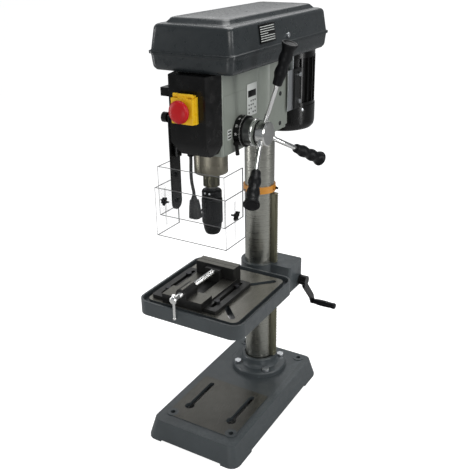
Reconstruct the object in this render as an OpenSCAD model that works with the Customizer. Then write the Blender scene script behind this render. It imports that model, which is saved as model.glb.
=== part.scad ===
// Bench drill press with a tilting table, a drill vise, a chuck guard and a belt drive.
// Origin: centre of the four bolt-down holes, on the floor. X to the right, Y to the back, Z up.

/* [Base] */
// Width of the base casting
base_w = 253; // [220:1:300]
// Length of the base casting
base_l = 456; // [420:1:520]
// Height of the base casting
base_h = 52; // [42:1:64]
// How far the sides lean in from the floor to the top
base_draft = 12.8; // [4:0.1:16]
// Bolt-down hole spacing across
bolt_x = 166; // [140:1:180]
// Bolt-down hole spacing front to back
bolt_y = 368; // [340:1:390]
// Bolt-down hole diameter
bolt_d = 12; // [9:0.5:14]

/* [Column] */
// Column diameter
col_d = 73; // [66:0.5:78]
// Column wall
col_wall = 4; // [3:0.5:6]
// Distance of the column axis behind the origin
col_y = 110; // [100:1:120]
// Height of the top end of the column
col_top = 830; // [815:1:850]
// Column flange diameter
flange_d = 146; // [136:1:152]

/* [Table] */
// Table width
table_w = 269; // [240:1:300]
// Table length
table_l = 267; // [250:1:280]
// Height of the table rim at rest
table_z = 378; // [360:1:395]
// Depth of the table rim
rim_h = 35; // [28:1:40]
// Height of the tilt axis below the rim
tilt_drop = 62; // [56:1:66]

/* [Vise] */
// Vise centre to the left of the table centre
vise_off = 24; // [0:1:30]
// Jaw width
jaw_w = 104; // [90:1:112]
// Height of the jaws above the table
jaw_h = 45; // [40:1:50]

/* [Head] */
// Width of the head casting
head_w = 106; // [98:1:112]
// Height of the underside of the head
head_z = 715; // [705:1:725]
// Distance of the spindle axis in front of the column axis
throat = 219; // [210:1:225]
// Quill diameter
quill_d = 36; // [32:0.5:40]
// Quill travel
quill_stroke = 80; // [50:1:80]
// Quill end height at rest
quill_z = 636; // [630:1:645]
// Chuck sleeve diameter
chuck_d = 46; // [40:1:50]
// Feed axis height
feed_z = 756; // [750:1:762]

/* [Spokes] */
// Angle of the first spoke above the back direction
spoke_turn = 91; // [60:1:120]
// Lean of the spokes away from the head
spoke_lean = 19; // [0:1:25]
// Distance of the grip's inner end from the feed axis
grip_from = 103; // [80:1:110]
// Distance of the grip's outer end from the feed axis
grip_to = 186; // [150:1:200]

/* [Belt cover] */
// Width at the seam flange
cover_w = 200; // [180:2:220]
// Front end of the cover from the spindle axis
cover_front = 73; // [68:1:80]
// Back end of the cover from the column axis
cover_back = 165; // [158:1:175]
// Underside of the belt tray
tray_z = 887; // [880:1:895]
// Height of the seam between tray and lid
seam_z = 922; // [915:1:930]
// Height of the lid edge
lid_z = 975; // [970:1:985]
// Height of the top panel
top_z = 988; // [985:1:1005]

/* [Guard] */
// Width of the upper shield
guard_w = 164; // [150:1:170]
// Height of each shield
guard_h = 110; // [100:1:118]
// Lower edge of the upper shield
guard_z = 579; // [574:1:585]
// Shield thickness
shield_t = 2.5; // [2:0.1:3]

/* [Motor] */
// Motor diameter
motor_d = 150; // [140:1:152]
// Distance of the motor axis behind the column axis
motor_back = 128; // [127:1:132]
// Underside of the motor
motor_z = 690; // [680:1:700]

/* [Hidden] */
$fn = 64;
run = 0.05;          // running fit, radial
gap = 0.3;           // gap between pieces that move past each other
spindle_y = col_y - throat;
table_y = (-230 + 37) / 2;
col_r = col_d / 2;
quill_r = quill_d / 2;

// rack and pinions
rack_m = 1.5;
lift_teeth = 16;
wheel_teeth = 20;
rack_x = col_r + 11.5;                   // pitch line of the column rack
lift_r = rack_m * lift_teeth / 2;
gear_x = rack_x + lift_r;
gear_z = table_z - 34.5;
worm_y = col_y + 34;
worm_r = 8.5;
worm_e = 1.2;
worm_pitch = rack_m * PI;
worm_z = gear_z - 24.6;
rack_w = 14;
rack_z0 = base_h + 40;
rack_z1 = 558;
collar_h = 17;
feed_m = 2;
feed_teeth = 18;
feed_r = feed_m * feed_teeth / 2;
feed_y = spindle_y + quill_r - feed_m + feed_r;

// heights along the spindle
boss_z = 667;
chuck_top = quill_z - 8;
chuck_z = chuck_top - 104;
neck_r = 11;

// table
plate_z = table_z - 2.3;                 // machined top
channel_z = table_z - 12;
table_x1 = table_w / 2;
table_y0 = table_y - table_l / 2;
table_y1 = table_y + table_l / 2;
tilt_z = table_z - tilt_drop;
lug_y = table_y1 + 14;                   // face between table and bracket
sleeve_r = col_r + 10.5;
bracket_z0 = table_z - 120;
bracket_z1 = table_z - 7;

// vise
vise_x = -vise_off;
jaw_z = plate_z + jaw_h;
screw_z = plate_z + 31;
vise_y1 = table_y1 - 73;
vise_y0 = table_y0 + 21;
fixed_t = 17;
jaw_t = 14;
jaw_y = vise_y1 - fixed_t - 0.5;         // front of the fixed jaw, back of the moving one
block_t = 45;
screw_r = 7;
screw_y0 = table_y0 - 10;

// head
head_x = head_w / 2;
head_y0 = spindle_y - 37;
boss_r = quill_r + 18;
head_y1 = col_y + col_r + 5;
front_y = spindle_y - 82;
groove_y = 34;                           // middle of the hollow in each side of the head
feed_boss_r = 28;
feed_boss_x = head_x + 43;
hub_x0 = feed_boss_x + 5;
hub_x1 = hub_x0 + 21;
spoke_x = hub_x0 + 3;                    // where the spoke lines meet the feed axis

// belt cover
cover_y0 = spindle_y - cover_front;
cover_y1 = col_y + cover_back;
cover_x = cover_w / 2;
sheet = 2.5;
step_h = 16;
pulley_z = tray_z + 8;
idler_y = 66;
spindle_steps = [26, 34, 42, 50];
idler_steps = [50, 42, 34, 26];
motor_steps = [12, 17, 22];
front_step = 2;
rear_step = 1;
motor_y = col_y + motor_back;
motor_r = motor_d / 2;

// guard
pivot_x = -70;
pivot_y = spindle_y - 23;
guard_y0 = spindle_y - 82;
guard_y1 = spindle_y - 5;
low_z = guard_z - 46;
low_w = guard_w + 12;

// switch
switch_z = 818.5;
switch_y = front_y;
key_x = 15;
key_r = 6.2;

// crank
crank_r = 96;
crank_a = 239;                            // direction of the crank arm, from the back upwards
crank_x = gear_x + 39;

// power cord
cord_d = 7;
cord_pts = [[-17, -160, 711.7], [-17, -160, 700], [-17.6, -160, 688], [-17.9, -160, 676], [-17.6, -160, 664],
            [-16.6, -160, 653], [-14.6, -160, 643], [-13, -160, 636], [-12.5, -160, 631], [-12.5, -160, 625.7]];

// ---- helpers ----
module rrect(w, l, r) {
    square([w - 2 * r, l], center = true);
    square([w, l - 2 * r], center = true);
    for (x = [-1, 1], y = [-1, 1]) translate([x * (w / 2 - r), y * (l / 2 - r)]) circle(r);
}
// rounded slab between two corners, from z0 up to z1
module slab(x0, x1, y0, y1, z0, z1, r) {
    translate([(x0 + x1) / 2, (y0 + y1) / 2, z0]) linear_extrude(z1 - z0) rrect(x1 - x0, y1 - y0, r);
}
module box(x0, x1, y0, y1, z0, z1) { translate([x0, y0, z0]) cube([x1 - x0, y1 - y0, z1 - z0]); }
module zcyl(x, y, z0, z1, r) { translate([x, y, z0]) cylinder(h = z1 - z0, r = r); }
module xcyl(x0, x1, y, z, r) { translate([x0, y, z]) rotate([0, 90, 0]) cylinder(h = x1 - x0, r = r); }
module ycyl(y0, y1, x, z, r) { translate([x, y0, z]) rotate([-90, 0, 0]) cylinder(h = y1 - y0, r = r); }
// hexagon head or nut, across flats af, along Z
module hex(x, y, z0, z1, af) { translate([x, y, z0]) cylinder(h = z1 - z0, r = af / sqrt(3), $fn = 6); }
module xhex(x0, x1, y, z, af) {
    translate([x0, y, z]) rotate([0, 90, 0]) cylinder(h = x1 - x0, r = af / sqrt(3), $fn = 6);
}
module tube(z0, z1, ro, ri) { difference() { zcyl(0, 0, z0, z1, ro); zcyl(0, 0, z0 - 1, z1 + 1, ri); } }
// slot outline with round ends between two points
module slot2(a, b, w) {
    d = b - a;
    n = norm(d);
    translate(a) rotate(atan2(d[1], d[0])) {
        translate([0, -w / 2]) square([n, w]);
        circle(w / 2);
        translate([n, 0]) circle(w / 2);
    }
}
// straight-flanked gear outline, thin enough to run with backlash
function gear_pts(m, z, thin) = let (rp = m * z / 2, ro = rp + m, ri = rp - 1.25 * m, p = 360 / z,
    h = p / 4 * thin, s = 20 * m / rp)
    [for (i = [0:z - 1]) each [
        for (q = [[ri, -h - s * 0.9], [rp, -h], [ro, -h + s * 0.75], [ro, h - s * 0.75], [rp, h], [ri, h + s * 0.9]])
            [q[0] * cos(i * p + q[1]), q[0] * sin(i * p + q[1])]]];
// rack outline: teeth along Y from 0 to n pitches, tips towards +X, pitch line at X = 0, back at X = -back
function rack_pts(m, n, back, thin) = let (p = m * PI, w = p / 4 * thin, t = tan(20))
    concat([[-back, 0]], [[-back, n * p]],
    [for (i = [n - 1:-1:0]) each [
        for (q = [[-1.25 * m, w + 1.25 * m * t], [m * 0.95, w - m * 0.95 * t], [m * 0.95, -w + m * 0.95 * t],
            [-1.25 * m, -w - 1.25 * m * t]]) [q[0], (i + 0.5) * p + q[1]]]]);
// V-groove pulley: one groove per radius, on a bore
module pulley(radii, z0, bore) {
    rotate_extrude() polygon(concat([[bore, z0]],
        [for (i = [0:len(radii) - 1]) let (r = radii[i], z = z0 + i * step_h, m = z + step_h / 2) each
            [[r, z], [r, m - 5.5], [max(r - 9, bore + 1.5), m - 3.8], [max(r - 9, bore + 1.5), m + 3.8], [r, m + 5.5],
            [r, z + step_h]]],
        [[bore, z0 + len(radii) * step_h]]));
}
// belt loop round two axes on the Y line
module belt(ya, ra, yb, rb, z) {
    translate([0, 0, z - 3.5]) linear_extrude(7) difference() {
        hull() { translate([0, ya]) circle(ra - 0.6); translate([0, yb]) circle(rb - 0.6); }
        hull() { translate([0, ya]) circle(ra - 7.6); translate([0, yb]) circle(rb - 7.6); }
    }
}
// places children at spoke n, with +Z along the spoke
module on_spoke(n) {
    translate([spoke_x, feed_y, feed_z]) rotate([spoke_turn - 90 - n * 120, 0, 0])
        rotate([0, spoke_lean, 0]) children();
}
along = 1 / cos(spoke_lean);

// ---- base and column ----
module base() {
    x = base_w / 2;
    y = base_l / 2;
    yc = -11;
    xt = x - base_draft;
    yt = y - base_draft;
    wall = 8;
    color("#3c4147") difference() {
        union() {
            difference() {
                hull() {
                    slab(-x, x, yc - y, yc + y, 0, 4, 24, $fn = 32);
                    slab(-xt, xt, yc - yt, yc + yt, base_h - 4, base_h, 18, $fn = 32);
                }
                hull() {
                    slab(-x + wall, x - wall, yc - y + wall, yc + y - wall, -1, 3, 18, $fn = 32);
                    slab(-xt + wall, xt - wall, yc - yt + wall, yc + yt - wall, base_h - 12, base_h - 10, 12, $fn = 32);
                }
            }
            for (sx = [-1, 1], sy = [-1, 1]) zcyl(sx * bolt_x / 2, sy * bolt_y / 2, 0, base_h + 2, 14.5);
            slab(-94, 94, -197, -15, base_h - 5, base_h + 1.5, 6);
            for (a = [45:90:315]) zcyl(60 * cos(a), col_y + 60 * sin(a), base_h - 22, base_h - 5, 10);
        }
        for (sx = [-1, 1], sy = [-1, 1]) zcyl(sx * bolt_x / 2, sy * bolt_y / 2, -1, base_h + 5, bolt_d / 2);
        for (a = [45:90:315]) zcyl(60 * cos(a), col_y + 60 * sin(a), base_h - 30, base_h + 5, 5 + run);
        for (sx = [-1, 1]) translate([0, 0, base_h - 15]) linear_extrude(20) {
            slot2([sx * 60, -144], [sx * 60, -40], 13);
            translate([sx * 60, -144]) circle(12);
        }
        box(-85, 85, yc - y - 1, yc + y + 1, -1, 5);
        box(-x - 1, x + 1, yc - 150, yc + 150, -1, 5);
    }
}
module column_flange() {
    n = col_r + 10.5;
    r = flange_d / 2;
    z = base_h;
    color("#3f444a") difference() {
        translate([0, col_y, 0]) rotate_extrude() polygon([[col_r + 0.1, z], [r, z], [r, z + 11], [r - 3, z + 14],
            [n + 6, z + 15], [n + 1.5, z + 19], [n, z + 25], [n, z + 37], [n - 2, z + 39], [col_r + 2.6, z + 39],
            [col_r + 2.6, z + 33], [col_r + 0.1, z + 33]]);
        for (a = [45:90:315]) zcyl(60 * cos(a), col_y + 60 * sin(a), z - 1, z + 30, 5.5);
        for (a = [45:90:315]) zcyl(60 * cos(a), col_y + 60 * sin(a), z + 14, z + 30, 11.5);
    }
}
module flange_bolts() {
    color("#55585c") for (a = [45:90:315]) {
        hex(60 * cos(a), col_y + 60 * sin(a), base_h + 14, base_h + 21, 17);
        zcyl(60 * cos(a), col_y + 60 * sin(a), base_h - 20, base_h + 14, 5);
    }
}
module column() { color("#a9aba8") translate([0, col_y, 0]) tube(base_h, col_top, col_r, col_r - col_wall); }
module rack_collar() {
    color("#e08a1e") translate([0, col_y, 0]) difference() {
        union() { zcyl(0, 0, rack_z1, rack_z1 + collar_h, col_r + 3.3); xcyl(col_r, col_r + 8, 0, rack_z1 + 11, 5.5); }
        zcyl(0, 0, rack_z1 - 1, rack_z1 + collar_h + 1, col_r + 0.1);
        zcyl(0, 0, rack_z1 - 1, rack_z1 + 7.4, col_r + 2.3);
        xcyl(col_r - 3, col_r + 12, 0, rack_z1 + 11, 3 + run);
    }
}
module set_screws() {
    color("#2a2c2e") {
        translate([0, col_y, 0]) xcyl(col_r + 0.1, col_r + 14, 0, rack_z1 + 11, 3);
        for (z = [730, 799]) xcyl(col_r + 0.1, head_x + 1.5, col_y, z, 5);
    }
}
module column_rack() {
    p = rack_m * PI;
    z0 = gear_z - p * floor((gear_z - rack_z0) / p);
    n = floor((rack_z1 - 1 - z0) / p);
    color("#8d8c86") {
        translate([rack_x, col_y + rack_w / 2, z0]) rotate([90, 0, 0]) linear_extrude(rack_w)
            polygon(rack_pts(rack_m, n, rack_x - col_r - 0.4, 0.9));
        box(col_r + 0.4, col_r + 2, col_y - 4, col_y + 4, base_h + 33.5, z0 + 1);
        box(col_r + 0.4, col_r + 2, col_y - 4, col_y + 4, z0 + n * p - 1, rack_z1 + 7);
    }
}

// ---- table bracket and lift ----
module table_bracket() {
    z0 = bracket_z0;
    z1 = bracket_z1;
    color("#40454b") difference() {
        union() {
            zcyl(0, col_y, z0, z1, sleeve_r);
            slab(20, crank_x - 2, col_y - 19, worm_y + 19, worm_z - 17, z1, 8);
            xcyl(crank_x - 8, crank_x, worm_y, worm_z, 14);
            box(-24, 24, lug_y + 14, col_y, tilt_z - 30, tilt_z + 24);
            ycyl(lug_y, lug_y + 20, 0, tilt_z, 34);
            box(-sleeve_r - 14, -sleeve_r + 14, col_y - 11, col_y + 11, z0 + 40, z0 + 68);
        }
        zcyl(0, col_y, z0 - 1, z1 + 1, col_r + 0.2);
        box(0, rack_x + 2, col_y - rack_w / 2 - 0.6, col_y + rack_w / 2 + 0.6, z0 - 1, z1 + 1);
        ycyl(col_y - 14, worm_y + 14, gear_x, gear_z, 18.5);
        ycyl(col_y - 25, worm_y + 25, gear_x, gear_z, 5 + run);
        xcyl(gear_x - 16, gear_x + 18, worm_y, worm_z, 11.5);
        xcyl(gear_x - 30, crank_x + 1, worm_y, worm_z, 6 + run);
        ycyl(lug_y - 1, lug_y + 30, 0, tilt_z, 8.1);
        ycyl(lug_y + 20, lug_y + 31, 0, tilt_z, 15);
        xcyl(-sleeve_r - 20, 0, col_y, z0 + 54, 5 + run);
    }
}
module tilt_bolt() {
    color("#6b6e70") {
        translate([0, lug_y - 24.2, tilt_z]) rotate([90, 0, 0]) cylinder(h = 12, r = 24 / sqrt(3), $fn = 6);
        ycyl(lug_y - 24.2, lug_y + 21, 0, tilt_z, 8);
    }
}
module bracket_lock_lever() {
    z = bracket_z0 + 54;
    x = -sleeve_r - 14.5;
    color("#2b2d2f") {
        xcyl(x - 12, -col_r - 0.6, col_y, z, 5);
        xcyl(x - 14, x, col_y, z, 10);
        translate([x - 7, col_y, z]) rotate([155, 0, 0]) rotate([0, -12, 0]) {
            cylinder(h = 62, r1 = 5, r2 = 4);
            translate([0, 0, 68]) sphere(9);
        }
    }
}
module worm_shaft() {
    turns = 4;
    color("#9a9b98") {
        translate([gear_x - turns / 2 * worm_pitch, worm_y, worm_z]) rotate([0, 90, 0])
            linear_extrude(turns * worm_pitch, twist = -360 * turns, slices = 14 * turns, $fn = 20)
            translate([worm_e, 0]) circle(worm_r, $fn = 20);
        xcyl(gear_x - 28, gear_x - turns / 2 * worm_pitch + 0.01, worm_y, worm_z, 6);
        xcyl(gear_x + turns / 2 * worm_pitch - 0.01, crank_x + 15, worm_y, worm_z, 6);
    }
}
module table_crank() {
    a = crank_a;
    u = [0, cos(a), sin(a)];
    x = crank_x + 9;
    color("#26282b") difference() {
        union() {
            xcyl(crank_x + 0.5, crank_x + 21, worm_y, worm_z, 12.5);
            for (s = [0:3]) hull() {
                for (q = [s, s + 1]) {
                    k = q / 4;
                    bend = 9 * sin(360 * k);
                    translate([x + 4 * k, worm_y + crank_r * k * u[1] * -1 - bend * u[2] * -1,
                        worm_z + crank_r * k * u[2] - bend * u[1] * 1]) rotate([0, 90, 0])
                        cylinder(h = 7, r = 9 - 2 * k, $fn = 32);
                }
            }
        }
        xcyl(crank_x, crank_x + 15.2, worm_y, worm_z, 6.1);
        translate([0, worm_y - crank_r * u[1], worm_z + crank_r * u[2]]) xcyl(x, x + 20, 0, 0, 4);
    }
}
module crank_grip() {
    u = [0, cos(crank_a), sin(crank_a)];
    color("#1d1e20") translate([crank_x + 20.4, worm_y - crank_r * u[1], worm_z + crank_r * u[2]])
        rotate([0, 90, 0]) rotate_extrude() polygon([[0, -7], [3.9, -7], [3.9, 0], [5.5, 0], [6.5, 4], [8, 12], [8.4, 30],
            [7.6, 50], [8.2, 58], [7, 62], [0, 62]]);
}
module lift_gear() {
    color("#8f8e88") difference() {
        union() {
            translate([gear_x, col_y + 9, gear_z]) rotate([90, 0, 0]) linear_extrude(18)
                rotate(180) polygon(gear_pts(rack_m, lift_teeth, 0.83));
            translate([gear_x, worm_y + 8, gear_z]) rotate([90, 0, 0]) linear_extrude(16)
                rotate(-90) polygon(gear_pts(rack_m * 0.98, wheel_teeth, 0.6));
            ycyl(col_y - 21, worm_y + 21, gear_x, gear_z, 5);
            ycyl(col_y + 9, worm_y - 8, gear_x, gear_z, 9);
        }
    }
}

// ---- table and vise ----
module work_table() {
    x = table_x1;
    color("#43484e") difference() {
        union() {
            difference() {
                slab(-x, x, table_y0, table_y1, table_z - rim_h, table_z, 28);
                slab(-x + 8, x - 8, table_y0 + 8, table_y1 - 8, table_z - rim_h - 1, channel_z - 7, 20);
                slab(-x + 5, x - 5, table_y0 + 5, table_y1 - 5, channel_z, table_z + 1, 23);
            }
            slab(-x + 17, x - 17, table_y0 + 17, table_y1 - 17, channel_z - 1, plate_z, 15);
            ycyl(lug_y - 24, lug_y - 0.2, 0, tilt_z, 34);
            box(-33, 33, lug_y - 24, lug_y - 0.2, tilt_z, channel_z - 6);
            box(-33, 33, table_y + 30, lug_y - 23, channel_z - 24, channel_z - 6);
        }
        for (a = [45:90:315]) translate([0, table_y, channel_z - 11]) rotate(a) linear_extrude(30)
            slot2([81, 0], [137, 0], 13);
        zcyl(0, table_y, channel_z - 30, table_z, 15);
        ycyl(lug_y - 25, lug_y + 1, 0, tilt_z, 8.1);
        for (sx = [-1, 1], sy = [0, 1]) zcyl(vise_x + sx * 66, vise_y0 + 44 + 85 * sy, channel_z - 30, table_z, 4.1);
    }
}
module vise_body() {
    w = jaw_w / 2;
    fl = plate_z + 9;
    bed = plate_z + 13;
    color("#2c2f33") translate([vise_x, 0, 0]) difference() {
        union() {
            slab(-86, 86, vise_y0 + 6, vise_y1 - 8, plate_z, fl, 6);
            box(-w, w, vise_y0, vise_y1, plate_z, bed);
            box(-w, w, vise_y1 - fixed_t, vise_y1, plate_z, jaw_z);
            box(-w, w, vise_y0, vise_y0 + block_t, plate_z, plate_z + 22);
            ycyl(vise_y0, vise_y0 + block_t, 0, screw_z, 14);
            box(-14, 14, vise_y0, vise_y0 + block_t, plate_z, screw_z);
        }
        box(-20, 20, vise_y0 + block_t, vise_y1 - fixed_t, plate_z + 3, jaw_z);
        ycyl(vise_y0 - 1, vise_y0 + block_t + 1, 0, screw_z, screw_r + gap);
        for (sx = [-1, 1]) translate([0, 0, plate_z - 1]) linear_extrude(20)
            slot2([sx * 66, vise_y0 + 24], [sx * 66, vise_y1 - 24], 9);
    }
}
module vise_bolts() {
    color("#3a3c3e") for (sx = [-1, 1], sy = [0, 1]) {
        x = vise_x + sx * 66;
        y = vise_y0 + 44 + 85 * sy;
        hex(x, y, plate_z + 9, plate_z + 14.5, 13);
        zcyl(x, y, channel_z - 16, plate_z + 9, 4);
        hex(x, y, channel_z - 16.5, channel_z - 10, 13);
    }
}
module vise_jaw() {
    w = jaw_w / 2;
    color("#34373b") translate([vise_x, 0, 0]) difference() {
        union() {
            box(-w, w, jaw_y - jaw_t, jaw_y, plate_z + 13 + gap, jaw_z);
            box(-19.6, 19.6, jaw_y - 26, jaw_y - 1, plate_z + 3 + gap, jaw_z - 6);
        }
        ycyl(jaw_y - 27, jaw_y - 8, 0, screw_z, screw_r + run);
    }
}
module vise_screw() {
    color("#b9bab7") translate([vise_x, 0, 0]) difference() {
        union() {
            ycyl(screw_y0, jaw_y - 8.3, 0, screw_z, screw_r);
            ycyl(screw_y0 - 2, screw_y0 + 8, 0, screw_z, 9);
        }
        zcyl(0, screw_y0 + 3.5, screw_z - 20, screw_z + 20, 3.5 + run);
    }
}
module vise_handle() {
    y = screw_y0 + 3.5;
    color("#c6c7c4") {
        zcyl(vise_x, y, screw_z - 46, screw_z + 11, 3.5);
        translate([vise_x, y, screw_z + 9.3]) cylinder(h = 4, r1 = 5, r2 = 4);
        translate([vise_x, y, screw_z - 48]) cylinder(h = 4, r1 = 4, r2 = 5);
    }
}

// ---- head ----
module head_casting() {
    x = head_x;
    color("#a3aaa4") difference() {
        union() {
            slab(-x, x, head_y0, head_y1, head_z, tray_z, 5);
            zcyl(0, spindle_y, boss_z, head_z + 1, boss_r);
            xcyl(x - 1, feed_boss_x, feed_y, feed_z, feed_boss_r);
            box(x - 1, x + 0.8, head_y0 + 6, -48, head_z + 4, 838);
        }
        for (s = [-1, 1]) zcyl(s * (x + 52), groove_y, head_z - 1, tray_z + 1, 60);
        difference() {
            union() {
                box(-x + 7, x - 7, head_y0 + 7, groove_y - 34, head_z + 8, tray_z + 1);
                box(-x + 15, x - 15, groove_y - 36, col_y - col_r - 9, head_z + 8, tray_z + 1);
            }
            zcyl(0, spindle_y, head_z, tray_z - 8, quill_r + 9);
            xcyl(-x, x, feed_y, feed_z, feed_r + 9);
            box(-8, 8, 0, col_y, head_z, tray_z - 20);
        }
        zcyl(0, spindle_y, boss_z - 1, tray_z + 1, quill_r + run);
        xcyl(-15, 15, feed_y, feed_z, feed_r + feed_m + 1);
        xcyl(-x - 1, feed_boss_x + 1, feed_y, feed_z, 10 + run);
        translate([0, col_y, 0]) zcyl(0, 0, head_z - 1, col_top, col_r + 0.1);
        for (z = [730, 799]) xcyl(col_r - 2, x + 1, col_y, z, 5 + run);
        for (sx = [-1, 1]) ycyl(col_y + 12, head_y1 + 1, sx * 38, tray_z - 22, 8 + run);
        box(-head_x + 9, head_x - 9, col_y - 36, col_y + 3, col_top + 6, tray_z + 1);
        zcyl(30, idler_y + 60, tray_z - 10, tray_z + 1, 6 + run);
        box(-x - 1, x + 1, head_y1 - 12, head_y1 + 1, head_z - 10, head_z + 6);
    }
}
module front_cover() {
    yb = head_y0 - 0.2;
    t = 2.5;
    z0 = head_z + 7;
    z1 = tray_z - 3;
    module shell(e) {
        hull() {
            box(-43 + e, 43 - e, front_y + e, yb - 4, z0 + 26, z1 - e);
            box(-head_x + e, head_x - e, yb - 3, yb, z0 + 20, z1 - e);
            box(-26 + e, 43 - e, front_y + 12 + e, yb, z0 + e, z0 + e + 1);
        }
    }
    color("#1c1d1f") difference() {
        shell(0);
        translate([0, 3, 0]) shell(t);
        zcyl(-17, spindle_y - 51, z0 - 2, z0 + 8, 6.2);
    }
}
module switch_box() {
    y = switch_y;
    z = switch_z;
    color("#e8b820") difference() {
        union() {
            box(-26, 26, y - 10, y - 0.1, z - 26.5, z + 26.5);
            for (s = [-1, 1]) xcyl(s * 17 - 5, s * 17 + 5, y - 13, z + 30, 3.5);
            for (s = [-1, 1]) box(s * 17 - 5, s * 17 + 5, y - 13, y - 0.1, z + 25, z + 30);
        }
        for (s = [-1, 1]) ycyl(y - 12, y - 3.5, s * key_x, z - 4, key_r + gap);
        xcyl(-30, 30, y - 13, z + 30, 1.6);
    }
}
module switch_flap() {
    y = switch_y - 10.4;
    z = switch_z;
    color("#ecc02a") {
        difference() {
            box(-25, 25, y - 9, y, z - 26, z + 24.6);
            box(-22, 22, y - 6, y + 1, z - 23, z + 20);
            ycyl(y - 10, y - 5, 0, z, 8.2);
        }
        xcyl(-11.6, 11.6, switch_y - 13, z + 30, 3.2);
        box(-11.6, 11.6, y - 5, y - 1, z + 24, z + 30);
        xcyl(-22, 22, switch_y - 13, z + 30, 1.5);
    }
}
module emergency_button() {
    y = switch_y - 19.4;
    color("#c4161c") {
        ycyl(y - 8, y + 5, 0, switch_z, 8);
        translate([0, y - 6, switch_z]) rotate([90, 0, 0]) rotate_extrude()
            polygon([[0, 0], [20, 0], [23, 2], [23, 6], [20, 10], [12, 12.5], [0, 13]]);
    }
}
module push_button(x, c) { color(c) ycyl(switch_y - 12.6, switch_y - 6, x, switch_z - 4, key_r); }
module start_button() { push_button(key_x, "#2f8f46"); }
module stop_button() { push_button(-key_x, "#b22222"); }
module spring_cap() {
    color("#232528") translate([-head_x - 0.1, feed_y, feed_z]) rotate([0, -90, 0]) difference() {
        cylinder(h = 20, r = 30);
        translate([0, 0, -1]) cylinder(h = 18, r = 27);
        translate([0, 0, 19]) cylinder(h = 2, r = 9);
    }
}
module return_spring() {
    turns = 5;
    color("#6d6f70") translate([-head_x - 3, feed_y, feed_z]) rotate([0, -90, 0]) linear_extrude(12)
        polygon(concat([for (i = [0:turns * 16]) let (a = i * 22.5, r = 11.2 + i * 15 / (turns * 16)) [r * cos(a), r * sin(a)]],
            [for (i = [turns * 16:-1:0]) let (a = i * 22.5, r = 11.9 + i * 15 / (turns * 16)) [r * cos(a), r * sin(a)]]));
}
module guard_bracket() {
    color("#5d625f") difference() {
        union() {
            box(pivot_x - 26, -head_x - 0.2, pivot_y - 14, pivot_y + 14, 828, 846);
            box(pivot_x - 8, -head_x - 0.2, pivot_y - 12, pivot_y + 12, 812, 829);
        }
        zcyl(pivot_x, pivot_y, 800, 850, 5 + run);
        box(pivot_x - 9, -head_x - 3, pivot_y - 13, pivot_y + 13, 811, 828.2);
    }
    color("#1d1e20") xcyl(pivot_x - 34, pivot_x - 26, pivot_y, 838, 3.5);
}
module cord_gland() {
    color("#17181a") translate([-17, spindle_y - 51, 0]) {
        zcyl(0, 0, head_z + 7, head_z + 14, 6);
        zcyl(0, 0, head_z - 3.3, head_z + 7, 7.5);
    }
}
// closed tube along a route, one ring per point
module route_tube(pts, d, sides) {
    n = len(pts);
    function dir(i) = let (a = pts[max(i - 1, 0)], b = pts[min(i + 1, n - 1)]) (b - a) / norm(b - a);
    function side(t) = let (s = cross(t, [0, 1, 0])) s / norm(s);
    rings = [for (i = [0:n - 1]) let (t = dir(i), s = side(t), v = cross(t, s))
        each [for (k = [0:sides - 1]) pts[i] + d / 2 * (s * cos(360 * k / sides) + v * sin(360 * k / sides))]];
    walls = [for (i = [0:n - 2], k = [0:sides - 1]) let (a = i * sides, b = a + sides, m = (k + 1) % sides)
        each [[a + k, b + k, b + m], [a + k, b + m, a + m]]];
    caps = [[for (k = [0:sides - 1]) k], [for (k = [sides - 1:-1:0]) (n - 1) * sides + k]];
    polyhedron(rings, concat(walls, caps));
}
module power_cord() { color("#141516") route_tube(cord_pts, cord_d, 12); }
module power_plug() {
    color("#141516") translate([-12, spindle_y - 51, 0]) {
        translate([-0.5, 0, 615.7]) cylinder(h = 10, r1 = 7.5, r2 = 4.5);
        hull() {
            slab(-9, 9, -8, 8, 610, 616, 5, $fn = 32);
            slab(-9.5, 10.5, -11, 11, 600, 602, 6, $fn = 32);
        }
        hull() {
            slab(-9.5, 10.5, -11, 11, 599, 601, 6, $fn = 32);
            slab(-10.5, 14.5, -13, 12, 577, 580, 8, $fn = 32);
        }
    }
    color("#c9c9c5") for (s = [-1, 1]) ycyl(spindle_y - 46, spindle_y - 26, -11 + s * 7, 589, 2.4);
}

// ---- belt cover and drive ----
module belt_tray() {
    x = cover_x;
    color("#42474d") difference() {
        union() {
            hull() {
                slab(-x + 9, x - 9, cover_y0 + 10, cover_y1 - 12, tray_z, tray_z + 2, 14, $fn = 32);
                slab(-x + 3, x - 3, cover_y0 + 3, cover_y1 - 3, seam_z - 5, seam_z - 3, 14, $fn = 32);
            }
            slab(-x, x, cover_y0, cover_y1, seam_z - 3, seam_z, 15);
            for (y = [-60, 160]) ycyl(y - 12, y + 12, -x - 3, seam_z, 3.2);
            for (y = [-60, 160]) box(-x - 6, -x + 1, y - 12, y + 12, seam_z - 3, seam_z);
        }
        hull() {
            slab(-x + 12, x - 12, cover_y0 + 13, cover_y1 - 15, tray_z + 3, tray_z + 4, 12, $fn = 32);
            slab(-x + 6, x - 6, cover_y0 + 6, cover_y1 - 6, seam_z - 4, seam_z + 1, 12, $fn = 32);
        }
        for (y = [-60, 160]) ycyl(y - 14, y + 14, -x - 3, seam_z, 1.6);
        for (y = [-60, 160]) ycyl(y - 5, y + 5, -x - 3, seam_z, 4.2);
        zcyl(0, spindle_y, tray_z - 1, seam_z, 22);
        translate([0, 0, tray_z - 1]) linear_extrude(8) slot2([0, motor_y - 9], [0, motor_y + 9], 40);
        zcyl(30, idler_y + 60, tray_z - 1, seam_z, 6 + run);
    }
}
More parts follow.
